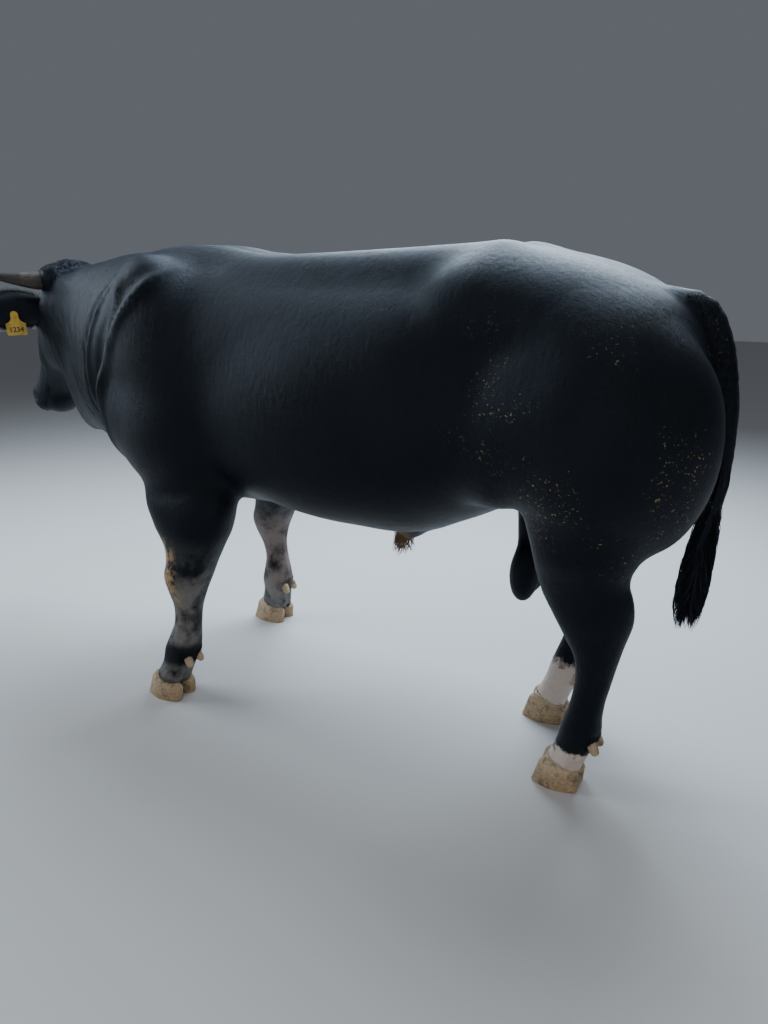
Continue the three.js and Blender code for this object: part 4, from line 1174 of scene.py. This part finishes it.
tag_finish, tag_at = finish("tag_finish")
grime = tag_at.noise(60.0, 5.0, 0.6)
tag_colour = grime.step(0.35, 0.75).mix(AMBER, AMBER_SOILED)
shade(tag_at, tag_at.noise(220.0, 3.0), 0.0004, Base_Color=tag_colour, Roughness=0.42 + 0.2 * grime,
      Specular_IOR_Level=0.45)
ink_finish, ink_at = finish("ink_finish")
shade(ink_at, Base_Color=ink_at.noise(90.0).mix(INK, INK_WORN), Roughness=0.5)
for name, ear in EARS.items():
    middle, radius, _ = ear.arc(np.array(TAG_ALONG))
    turn = TAG_DROP / radius
    out = ear.back * math.cos(turn) + ear.up * math.sin(turn)
    rise = ear.up * math.cos(turn) - ear.back * math.sin(turn)
    axes = np.stack([np.cross(rise, out), rise, out])
    centre = middle + out * (radius + TAG_LIFT)
    outline = flag_outline()
    layers = [(TAG_EDGE, 0), (0, TAG_EDGE), (0, TAG_THICK - TAG_EDGE), (TAG_EDGE, TAG_THICK)]
    level = np.ones(len(outline))
    flag = np.array([np.column_stack([inset(outline, by), z * level]) for by, z in layers])
    rows, columns, _ = flag.shape
    flat = flag.reshape(-1, 3)
    caps = np.stack([np.arange(columns)[::-1], (rows - 1) * columns + np.arange(columns)])
    plate = new_mesh(f"flag_{name}", centre + flat @ axes, ring_quads(rows, columns), caps)
    place(plate, tag_finish, "tag", f"tag_{name}")
    back = -TAG_LIFT - EAR_WALL - 5
    studs = {
        "cap": disc(CAP, TAG_THICK - CAP_SUNK, TAG_THICK + CAP_HIGH),
        "button": disc(BUTTON, back, back + BUTTON_THICK),
        "stud": disc(PIN, back, TAG_THICK),
    }
    for part, rings in studs.items():
        place(closed_mesh(f"tag_{part}_{name}", centre + rings @ axes), tag_finish, "tag")
    text = bpy.data.curves.new("digits", "FONT")
    text.body = DIGITS
    text.align_x = "CENTER"
    text.size = DIGIT_SIZE
    text.extrude = DIGIT_RELIEF
    text.offset = DIGIT_BOLD
    drawn = bpy.data.objects.new("digits", text)
    digits = bpy.data.meshes.new_from_object(drawn)
    digits.name = f"digits_{name}"
    flat = np.empty(len(digits.vertices) * 3)
    digits.vertices.foreach_get("co", flat)
    flat = flat.reshape(-1, 3) * (DIGIT_WIDER, DIGIT_TALLER, 1) + (0, DIGIT_FOOT, TAG_THICK + DIGIT_GAP)
    digits.vertices.foreach_set("co", to_frame(centre + flat @ axes).astype(np.float32).ravel())
    digits.update()
    bpy.data.objects.remove(drawn)
    place(digits, ink_finish, "tag")

# Hooves
# Two claws to a foot, of pale tan horn: a worn flat sole, a sloping wall with rings of growth, a soft
# heel, and a top edge that runs under the skin of the pastern.
CLAW_HALF, CLAW_LENGTH = 27.0, 60.0
CLAW_SPLAY, CLAW_LONGER, CLAW_TOE = 2.0, 10.0, 16.0  # how much more the sole has than the top
CLAW_CLEFT, CLAW_SPREAD = 2.2, 5.0
CLAW_SIZE = {"fore": 1.04, "hind": 0.98}
CLAW_RINGS = 46
CLAW_COLUMNS = 64
HEEL_RISE = 6
HORN_TAN, HORN_PALE = (0.30, 0.20, 0.105, 1), (0.50, 0.37, 0.22, 1)
HORN_RING, HORN_TOP = (0.22, 0.145, 0.08, 1), (0.62, 0.50, 0.36, 1)
DRY_DIRT = (0.10, 0.072, 0.045, 1)
TOES = [(leg, which, away)
        for leg in LEGS for which, away in (("outer", leg.side), ("inner", -leg.side))]
hoof_finish, hoof_at = finish("hoof_finish")
hoof_z = hoof_at.axis("Z")
hoof_rings = hoof_at.stretched((40, 40, 420)).noise(1.0, 3.0, 0.5)
hoof_grain = hoof_at.noise(140.0, 4.0, 0.6)
hoof_dirt = hoof_at.noise(30.0, 6.0, 0.65)
hoof_colour = hoof_grain.step(0.3, 0.7).mix(HORN_TAN, HORN_PALE)
hoof_colour = (hoof_rings.step(0.45, 0.75) * 0.5).mix(hoof_colour, HORN_RING)
hoof_colour = (hoof_z.step(0.012, 0.075) * 0.35).mix(hoof_colour, HORN_TOP)
hoof_colour = (hoof_dirt.step(0.48, 0.66) * 0.7).mix(hoof_colour, DRY_DIRT)
shade(hoof_at, hoof_rings + 0.3 * hoof_grain + hoof_dirt, 0.0014, Base_Color=hoof_colour,
      Roughness=0.45 + 0.3 * hoof_dirt)


def mid(a, b, t):
    """A share t of the way from a to b."""
    return a + (b - a) * t


def claw(leg, away):
    """Rings up a claw: ovals that narrow towards the toe, on a wall that leans back to the heel."""
    rise, turn = around(CLAW_RINGS, CLAW_COLUMNS)
    rise = np.interp(rise * (CLAW_RINGS - 1), [0, 1, 2, CLAW_RINGS - 1], [0, 0.02, 0.05, 1])
    size = CLAW_SIZE[leg.pair]
    half = size * mid(CLAW_HALF + CLAW_SPLAY, CLAW_HALF, rise)
    length = size * mid(CLAW_LENGTH + CLAW_LONGER - 2, CLAW_LENGTH - 2, rise)
    tuck = 12.0 * ramp(rise, 0.68, 1.0) + 2.2 * (1 - ramp(rise, 0, 0.05))
    waist = 1.6 * np.sin(math.pi * np.clip(rise / 0.9, 0, 1))
    growth = 0.35 * np.sin(rise * 52 + 0.8 * np.sin(3 * turn)) * ramp(rise, 0.05, 0.2)
    x = leg.foot[0] - mid(CLAW_TOE, 0, rise) + (length - tuck + growth - waist) * np.cos(turn)
    toe = np.clip((leg.foot[0] - x) / 70, 0, 1)
    middle = CLAW_CLEFT + half + CLAW_SPREAD * toe * (1 - rise)
    y = middle + (half - 0.6 * tuck + growth) * (1 - 0.42 * toe * toe) * np.sin(turn)
    top = CORONET + (leg.foot[0] - x) * CORONET_RISE - 0.3
    heel = HEEL_RISE * ramp(x - leg.foot[0], 10, 60)
    return np.stack([x, leg.foot[1] + away * y, rise * (top + heel)], -1)


for leg, which, away in TOES:
    node = f"{leg.pair}_{which}_{leg.hand}"
    place(closed_mesh(f"toe_{node}", claw(leg, away)), hoof_finish, "hoof", f"claw_{node}")

# Dewclaws
# A pair of short blunt cones of the same horn at the back of each fetlock, pointing down and back.
# Each is a run of oval rings along its way, thicker at the root.
DEW_AT = {"fore": (56, 25), "hind": (54, 25)}  # behind the middle of the leg and to each side
DEW_HEIGHT, DEW_SIZE, DEW_LENGTH, DEW_SUNK = 150, 14.5, 44, 24
DEW_RINGS = 24
DEW_COLUMNS = 28
DEW_BACK = np.array([0.86, 0, 0.50])
for leg, which, away in TOES:
    t, turn = around(DEW_RINGS, DEW_COLUMNS)
    behind, aside = DEW_AT[leg.pair]
    centre = leg.middle(DEW_HEIGHT) + [behind, away * aside, 0]
    way = unit(np.array([0.50, away * 0.10, -0.86]))
    size = DEW_SIZE * np.sqrt(np.clip(1 - (2 * t - 1) ** 4, 0, 1)) * mid(1.05, 0.72, t)
    size = size + 0.3 * np.sin(60 * t)
    ring = np.cos(turn)[..., None] * DEW_BACK * 1.12 + np.sin(turn)[..., None] * np.cross(way, DEW_BACK)
    rings = centre + (DEW_LENGTH * t - DEW_SUNK)[..., None] * way + ring * size[..., None]
    node = f"{leg.pair}_{which}_{leg.hand}"
    place(closed_mesh(f"spur_{node}", rings), hoof_finish, "hoof", f"dewclaw_{node}")

# Short coat
# Sleek hair a finger's breadth long that lies back along the trunk and down the neck and legs, and is
# shortest on the face. Each tuft is a thin closed blade with three sides, rooted in the hide.
rng = np.random.default_rng(3614)
ROOT_DEPTH = 1.0
CURL_TURNS = 0.7
TUFT_DROOP, TUFT_FLAT = 0.08, 0.16
TUFT_PATCH = 0.0015  # half the size of a tuft's place on the unwrapped skin
LIE_TRUNK = np.array([0.86, 0.0, -0.50])
LIE_NECK = np.array([0.45, 0.0, -0.90])
LIE_LEG = np.array([0.18, 0.0, -1.0])
NECK_LIE = (-1000, -760)  # from where to where the lie of the neck turns into the trunk's
LEG_LIE = (700, 960)
TRUNK_FROM, TRUNK_LONG, TRUNK_MIDDLE = -1470, 2400, 1040
HEAD_FROM, HEAD_LONG, HEAD_MIDDLE = -60, 680, -90
TAIL_FROM, TAIL_LONG = 1400, 1000
TRUNK, HEAD, TAIL, FIRST_LEG = range(4)  # the numbers of the parts, in the order of their charts
CHARTS = {  # the lowest corner and the size of each part's patch of the unwrapped skin
    "trunk": (0.01, 0.01, 0.68, 0.68),
    "head": (0.71, 0.01, 0.28, 0.47),
    "tail": (0.71, 0.50, 0.28, 0.19),
    "leg0": (0.010, 0.71, 0.225, 0.28),
    "leg1": (0.255, 0.71, 0.225, 0.28),
    "leg2": (0.500, 0.71, 0.225, 0.28),
    "leg3": (0.745, 0.71, 0.225, 0.28),
}


def part_of(p):
    """Which part of the body each place of the hide is on, by how near it is to the part's own flesh."""
    part = np.full(len(p), TRUNK)
    part[(head(p) < 14) & (trunk(p) > -6)] = HEAD
    part[(p[:, 0] > 800) & (tail(p) < 6)] = TAIL
    for number, leg in enumerate(LEGS, FIRST_LEG):
        part[(leg.field(p) < 10) & (p[:, 2] < 860) & (np.sign(p[:, 1]) == leg.side)] = number
    return part


def part_turn(a, b):
    """The angle of (a, b) as a share of a full turn, from 0 to 1."""
    return np.arctan2(a, b) / (2 * math.pi) + 0.5


def unwrapped(p, part):
    """Each place on the unwrap of the skin: round the part by its angle, and along it by its length."""
    uv = np.zeros((len(p), 2))
    x, y, z = p.T
    t, s, v = to_head(p).T
    ways = [
        ((x - TRUNK_FROM) / TRUNK_LONG, part_turn(y, z - TRUNK_MIDDLE)),
        ((t - HEAD_FROM) / HEAD_LONG, part_turn(s, v - HEAD_MIDDLE)),
        ((TAIL_FROM - z) / TAIL_LONG, part_turn(y, x - tail_x(z))),
    ]
    for leg in LEGS:
        ways.append((part_turn(y - leg.sizes[1](z), x - leg.sizes[0](z)), z / 1000))
    for number, ((a, b), chart) in enumerate(zip(ways, CHARTS.values())):
        here = part == number
        left, low, wide, tall = chart
        uv[here, 0] = left + wide * np.clip(a[here], 0, 1)
        uv[here, 1] = low + tall * np.clip(b[here], 0, 1)
    return uv


def tail_x(z):
    """The tail's middle at a height."""
    line = tail_at(np.linspace(0.2, 1, 60))
    return np.interp(-z, -line[:, 2], line[:, 0])


def blades(name, rings, tips, uv, patch):
    """One mesh of closed blades: quads between each one's rings from root to tip, a fan of triangles to
    its tip and one face over its root. The patch is one blade's own shape on the unwrapped skin."""
    count, rows, sides, _ = rings.shape
    each = rows * sides + 1
    edges = [(n, (n + 1) % sides) for n in range(sides)]
    quads = [(sides * r + a, sides * r + b, sides * (r + 1) + b, sides * (r + 1) + a)
             for r in range(rows - 1) for a, b in edges]
    last = sides * (rows - 1)
    fan = [(last + a, last + b, each - 1) for a, b in edges]
    root = [tuple(range(sides))[::-1]]
    start = np.arange(count)[:, None, None] * each
    faces = [(start + np.array(one)[None]).reshape(-1, len(one[0])) for one in (quads, fan, root)]
    points = np.concatenate([rings.reshape(count, -1, 3), tips[:, None]], 1)
    mesh = new_mesh(name, points.reshape(-1, 3), *faces)
    set_uv(mesh, "OFBake", (uv[:, None] + np.array(patch)[None] * TUFT_PATCH).reshape(-1, 2))
    return mesh


def strands(name, roots, out, lie, length, width, lift, droop, uv, rings=2, curl=0.0, flat=0.35):
    """Tufts with three sides: a ring at s from 0 to 1 stands at root + length (lie s + out (lift s -
    droop s squared)), swung sideways by the curl, and narrows to the tip."""
    count = len(roots)
    s = np.linspace(0, 1, rings + 1)[None, :, None]
    across = unit(np.cross(out, lie))[:, None]
    out, lie = out[:, None], lie[:, None]
    length, width, lift = (size[:, None, None] for size in (length, width, lift))
    phase = rng.uniform(0, 2 * math.pi, (count, 1, 1))
    swing = curl * s * np.sin(2 * math.pi * CURL_TURNS * s + phase)
    ahead = lie * s * (1 - 0.3 * curl * s) + across * swing
    path = roots[:, None] + length * (ahead + out * (lift * s - droop * s * s)) - out * ROOT_DEPTH
    s, low = s[:, :-1], path[:, :-1]
    wide = width * (1 - s) ** 0.55 * (0.8 + 0.6 * s * (rings > 2))
    corners = [low - across * wide / 2, low + across * wide / 2, low + out * wide * flat]
    grow = np.linspace(-1, 1, rings + 1)
    patch = [(x * (1 - 0.4 * k / rings), grow[k] + y)
             for k in range(rings) for x, y in ((-1, 0), (1, 0), (0, 0.3))]
    return blades(name, np.stack(corners, 2), path[:, -1], uv, [*patch, (0, 1)])


skin.calc_loop_triangles()
corner = np.empty(len(skin.loop_triangles) * 3, np.int32)
skin.loop_triangles.foreach_get("vertices", corner)
corner = corner.reshape(-1, 3)
hide_normals = np.empty(len(skin.vertices) * 3)
skin.vertex_normals.foreach_get("vector", hide_normals)
hide_normals = hide_normals.reshape(-1, 3)
a, b, c = (hide[corner[:, n]] for n in range(3))
face_area = np.linalg.norm(np.cross(b - a, c - a), axis=1) / 2
face_middle = (a + b + c) / 3
face_part = part_of(face_middle)


def roots_on(faces, count):
    """Places on some faces of the hide, as dense everywhere, with their normals."""
    weight = np.cumsum(face_area[faces])
    pick = faces[np.searchsorted(weight, rng.uniform(0, weight[-1], count))]
    u, v = rng.uniform(0, 1, (2, count, 1))
    over = u + v > 1
    u, v = np.where(over, 1 - u, u), np.where(over, 1 - v, v)
    corners = [corner[pick, n] for n in range(3)]
    mixed = [[one[n] for n in corners] for one in (hide, hide_normals)]
    at, out = (p0 + u * (p1 - p0) + v * (p2 - p0) for p0, p1, p2 in mixed)
    return at, unit(out), face_part[pick]


def coat_lie(p, out, part):
    """The way the hair lies: back along the trunk, down the neck, face, legs and tail, in swirls."""
    neck = (1 - ramp(p[:, 0], *NECK_LIE))[:, None]
    way = LIE_TRUNK * (1 - neck) + LIE_NECK * neck
    for leg in LEGS:
        near = (1 - ramp(leg.field(p), 5, 90)) * (1 - ramp(p[:, 2], *LEG_LIE))
        way = way + (LIE_LEG - way) * (near * (np.sign(p[:, 1]) == leg.side))[:, None]
    way = np.where((part == HEAD)[:, None], DOWN_FACE * 0.8 - OFF_FACE * 0.35, way)
    way = np.where((part == TAIL)[:, None], -UP, way)
    way = unit(way - out * np.sum(way * out, axis=1)[:, None])
    across = np.cross(out, way)
    x, y, z = p.T
    yaw = 0.30 * np.sin(x / 71 + z / 113) + 0.22 * np.sin(z / 47 - x / 139 + y / 60)
    yaw = yaw + rng.normal(0, 0.16, len(p))
    return unit(way * np.cos(yaw)[:, None] + across * np.sin(yaw)[:, None])


def short_coat(name, faces, count, length, width):
    """One piece of the short coat, on some faces of the hide."""
    at, out, part = roots_on(faces, count)
    lie = coat_lie(at, out, part)
    long = length * rng.uniform(0.75, 1.25, count)
    lift = rng.uniform(0.08, 0.17, count)
    wide = width * rng.uniform(0.7, 1.3, count)
    made = strands(name, at, out, lie, long, wide, lift, TUFT_DROOP, unwrapped(at, part), flat=TUFT_FLAT)
    place(made, hair_finish, "coat")


# No hair grows round the eyes, on the pad of the nose, inside the hooves and in the cleft over them.
BARE_EYE = (26, 15)
BARE_NOSE, BARE_LIP = 512, -118
BARE_FOOT = 84
BARE_CLEFT, BARE_CLEFT_TOP = 8, 130
NECK_END = -840
t_face, s_face, v_face = to_head(face_middle).T
by_eye = np.hypot((t_face - EYE[0]) / BARE_EYE[0], (v_face - EYE[2]) / BARE_EYE[1]) < 1
by_eye &= np.abs(s_face) > 90
bare = (face_part == HEAD) & (by_eye | (t_face > BARE_NOSE) & (v_face > BARE_LIP))
bare |= (face_part >= FIRST_LEG) & (face_middle[:, 2] < BARE_FOOT)
for number, leg in enumerate(LEGS, FIRST_LEG):
    cleft = np.abs(face_middle[:, 1] - leg.foot[1]) < BARE_CLEFT
    bare |= (face_part == number) & cleft & (face_middle[:, 2] < BARE_CLEFT_TOP)
left = face_middle[:, 1] < 0
neck = face_middle[:, 0] < NECK_END
COAT = [  # each piece's faces, count, length and width of a tuft
    ("coat_trunk_left", (face_part == TRUNK) & left & ~neck, 19800, 15, 1.9),
    ("coat_trunk_right", (face_part == TRUNK) & ~left & ~neck, 19800, 15, 1.9),
    ("coat_neck", (face_part == TRUNK) & neck, 17000, 14, 1.8),
    ("coat_head", face_part == HEAD, 15000, 10, 1.7),
    ("coat_fore_legs", np.isin(face_part, (FIRST_LEG, FIRST_LEG + 1)), 14000, 12, 2.0),
    ("coat_hind_legs", np.isin(face_part, (FIRST_LEG + 2, FIRST_LEG + 3)), 16000, 13, 2.0),
    ("coat_tail", face_part == TAIL, 3000, 16, 2.0),
]
for name, faces, count, length, width in COAT:
    short_coat(name, np.flatnonzero(faces & ~bare), count, length, width)

# Long hair
# Rough curls on the poll between the horns, a fringe along the rims of the ears and in their cups,
# feathers over the hooves and behind the fetlocks, and the wisp at the end of the sheath.


def long_hair(name, at, out, lie, length, width, lift, droop, curl, rings=5):
    """One piece of longer locks, each bent and curled a little."""
    count = len(at)
    long = length * rng.uniform(0.6, 1.25, count)
    wide = width * rng.uniform(0.6, 1.4, count)
    rise = lift * rng.uniform(0.6, 1.4, count)
    uv = unwrapped(at, part_of(at))
    made = strands(name, at, unit(out), unit(lie), long, wide, rise, droop, uv, rings, curl)
    place(made, hair_finish, "coat")


def scattered(mask, count, spread):
    """Roots on some faces, with a direction scattered about the lie of the coat."""
    at, out, part = roots_on(np.flatnonzero(mask), count)
    lie = coat_lie(at, out, part) + rng.normal(0, spread, (count, 3))
    return at, out, lie - out * np.sum(lie * out, axis=1)[:, None]


poll = (face_part == HEAD) & (t_face < 62) & (v_face > -70) & (np.abs(s_face) < 100)
at, out, lie = scattered(poll, 1500, 0.55)
long_hair("hair_poll", at, out, lie, 23, 2.4, 0.18, 0.15, 0.5)

fringe = []
for ear in EARS.values():
    for edge in (-1, 1):
        t = rng.uniform(0.10, 0.99, 420)
        across = edge * (1 - rng.uniform(0, 0.05, len(t)))
        at, out = ear.point(t, across, EAR_WALL * 0.4)
        rim = unit(ear.point(t + 0.01, across, 0)[0] - ear.point(t, across, 0)[0])
        away = unit(at - ear.arc(t)[0] + ear.back * 20)
        fringe.append((at, out, 0.8 * rim + 0.5 * away + rng.normal(0, 0.25, at.shape)))
    t = rng.uniform(0.12, 0.8, 700)
    across = rng.uniform(-0.85, 0.85, len(t))
    at, out = ear.point(t, across, EAR_WALL * 0.9)
    fringe.append((at, -out, ear.far + rng.normal(0, 0.35, at.shape)))
at, out, lie = (np.concatenate(parts) for parts in zip(*fringe))
long_hair("hair_ears", at, out, lie, 22, 1.8, 0.30, 0.15, 0.25, 4)

ear_coat = []
for ear in EARS.values():
    t = rng.uniform(0.10, 0.99, 2600)
    across = rng.uniform(-0.98, 0.98, len(t))
    at, out = ear.point(t, across, 0.3)
    ear_coat.append((at, out, ear.far - 0.15 * ear.up + rng.normal(0, 0.15, at.shape)))
at, out, lie = (np.concatenate(parts) for parts in zip(*ear_coat))
long_hair("coat_ears", at, out, lie, 9, 1.5, 0.12, 0.10, 0.1, 2)

feather = np.zeros(len(face_middle), bool)
x, y, z = face_middle.T
for number, leg in enumerate(LEGS, FIRST_LEG):
    over_hoof = z - (leg.foot[0] - x) * CORONET_RISE
    round_top = (over_hoof > CORONET - 2) & (over_hoof < CORONET + 12)
    behind = (x > leg.sizes[0](z) + 26) & (z > 150) & (z < 200)
    feather |= (face_part == number) & (round_top | behind)
at, out, lie = scattered(feather, 4200, 0.12)
long_hair("hair_feet", at, out, lie, 19, 2.0, 0.22, 0.12, 0.15, 3)

SHEATH_TIP, SHEATH_REACH = (30, 0, 590), 40
tip = np.linalg.norm(face_middle - SHEATH_TIP, axis=1) < SHEATH_REACH
at, out, lie = scattered(tip, 260, 0.2)
long_hair("hair_sheath", at, out, lie * 0.3 + (-0.3, 0, -1.0), 42, 2.6, 0.15, 0.05, 0.25)

# Tail switch
# Coarse glossy black hair from the last third of the tail, a hand and a half wide, in ragged locks that
# hang past the end of the dock and overlap, cut off blunt. Thin single strands stray at its edges.
SWITCH_SPREAD = curve([0.55, 0.7, 0.8, 0.9, 1], [14, 29, 36, 36, 27])
SWITCH = [  # each piece's count, width, rings, how far it strays, and the nodes that it replaces
    ("switch_locks", 520, 12.0, 10, 0.7, ["tail_switch"]),
    ("switch_hair", 1800, 3.2, 9, 1.0, []),
]
for name, count, width, rings, stray, nodes in SWITCH:
    turn = rng.uniform(0, 2 * math.pi, count)
    root = rng.uniform(0.50, 0.84, count)
    end = np.minimum(root + rng.uniform(0.18, 0.36, count), rng.uniform(0.90, 1.0, count))
    s = np.linspace(0, 1, rings + 1)[None, :]
    along = root[:, None] + (end - root)[:, None] * s
    depth = rng.uniform(0.45, 1.0, count)[:, None]
    dock = TAIL_SIZE(along) - 2.5 - 4 * (1 - ramp(s, 0, 0.15))
    wave = np.sin(7 * s + 5 * turn[:, None])
    reach = np.maximum(dock, SWITCH_SPREAD(along) * depth * ramp(s, -0.2, 0.6) + stray * 8 * s * wave)
    swirl = turn[:, None] + 0.8 * stray * np.sin(4.0 * s + turn[:, None] * 3) * s
    away = np.stack([np.cos(swirl), np.sin(swirl), np.zeros_like(swirl)], -1)
    across = np.stack([-np.sin(swirl), np.cos(swirl), np.zeros_like(swirl)], -1)
    path = tail_at(along) + away * reach[..., None]
    wide = width * rng.uniform(0.6, 1.3, (count, 1)) * (1 - s ** 2.2) ** 0.8
    wide = (wide * (0.55 + 0.7 * np.sin(math.pi * s)))[:, :-1, None]
    low, beside = path[:, :-1], across[:, :-1] * wide / 2
    over, under = away[:, :-1] * (wide * 0.22 + 0.4), away[:, :-1] * (wide * 0.10 + 0.3)
    corners = [low - beside, low - under, low + beside, low + over]
    uv = unwrapped(tail_at(root) + away[:, 0] * 10, np.full(count, TAIL))
    patch = [(x, -1 + 1.8 * k / rings) for k in range(rings) for x in (-1, -0.3, 1, 0.3)]
    lock = blades(name, np.stack(corners, 2), path[:, -1], uv, [*patch, (0, 1)])
    place(lock, hair_finish, "coat", *nodes)

# Floor and light
# A plain pale floor under a pale sky, one wide lamp over the far side for the shine along the back,
# and weak wide lamps for the near side, the head and the quarters.
FLOOR_HALF = 14000
FLOOR_GREY = (0.52, 0.51, 0.50, 1)
SKY = (0.80, 0.88, 1.0, 1)
SKY_STRENGTH = 0.15
floor_finish, floor_at = finish("floor_finish")
shade(floor_at, Base_Color=FLOOR_GREY, Roughness=0.9)
corners = np.array([(-1, -1, 0), (1, -1, 0), (1, 1, 0), (-1, 1, 0)]) * FLOOR_HALF
floor_mesh = new_mesh("floor", corners, np.array([[0, 1, 2, 3]]))
floor_mesh.materials.append(floor_finish)
floor = bpy.data.objects.new("floor", floor_mesh)
bpy.context.scene.collection.objects.link(floor)
floor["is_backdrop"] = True
world = bpy.data.worlds.new("sky")
bpy.context.scene.world = world
world.use_nodes = True
sky = world.node_tree.nodes["Background"].inputs
sky["Color"].default_value = SKY
sky["Strength"].default_value = SKY_STRENGTH
LAMPS = [
    # at, aimed at, size, power, colour
    ((-300, 1700, 3200), (-100, 0, 1250), 3.0, 320, (0.72, 0.86, 1.0)),
    ((-3600, -900, 2600), (-900, 0, 1200), 2.2, 115, (0.78, 0.89, 1.0)),
    ((1800, -3400, 2400), (300, 0, 800), 2.6, 46, (1.0, 0.93, 0.84)),
]
for number, (at, target, size, power, colour) in enumerate(LAMPS):
    lamp_data = bpy.data.lights.new(f"lamp_{number}", "AREA")
    lamp_data.size = size
    lamp_data.energy = power
    lamp_data.color = colour
    lamp = bpy.data.objects.new(f"lamp_{number}", lamp_data)
    bpy.context.scene.collection.objects.link(lamp)
    lamp.location = to_frame(at)
    lamp.rotation_euler = Vector(np.subtract(target, at)).to_track_quat("-Z", "Y").to_euler()

({name: [list(corner) for corner in box] for name, box in
           (("cad", cad_box), ("visual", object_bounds()))})
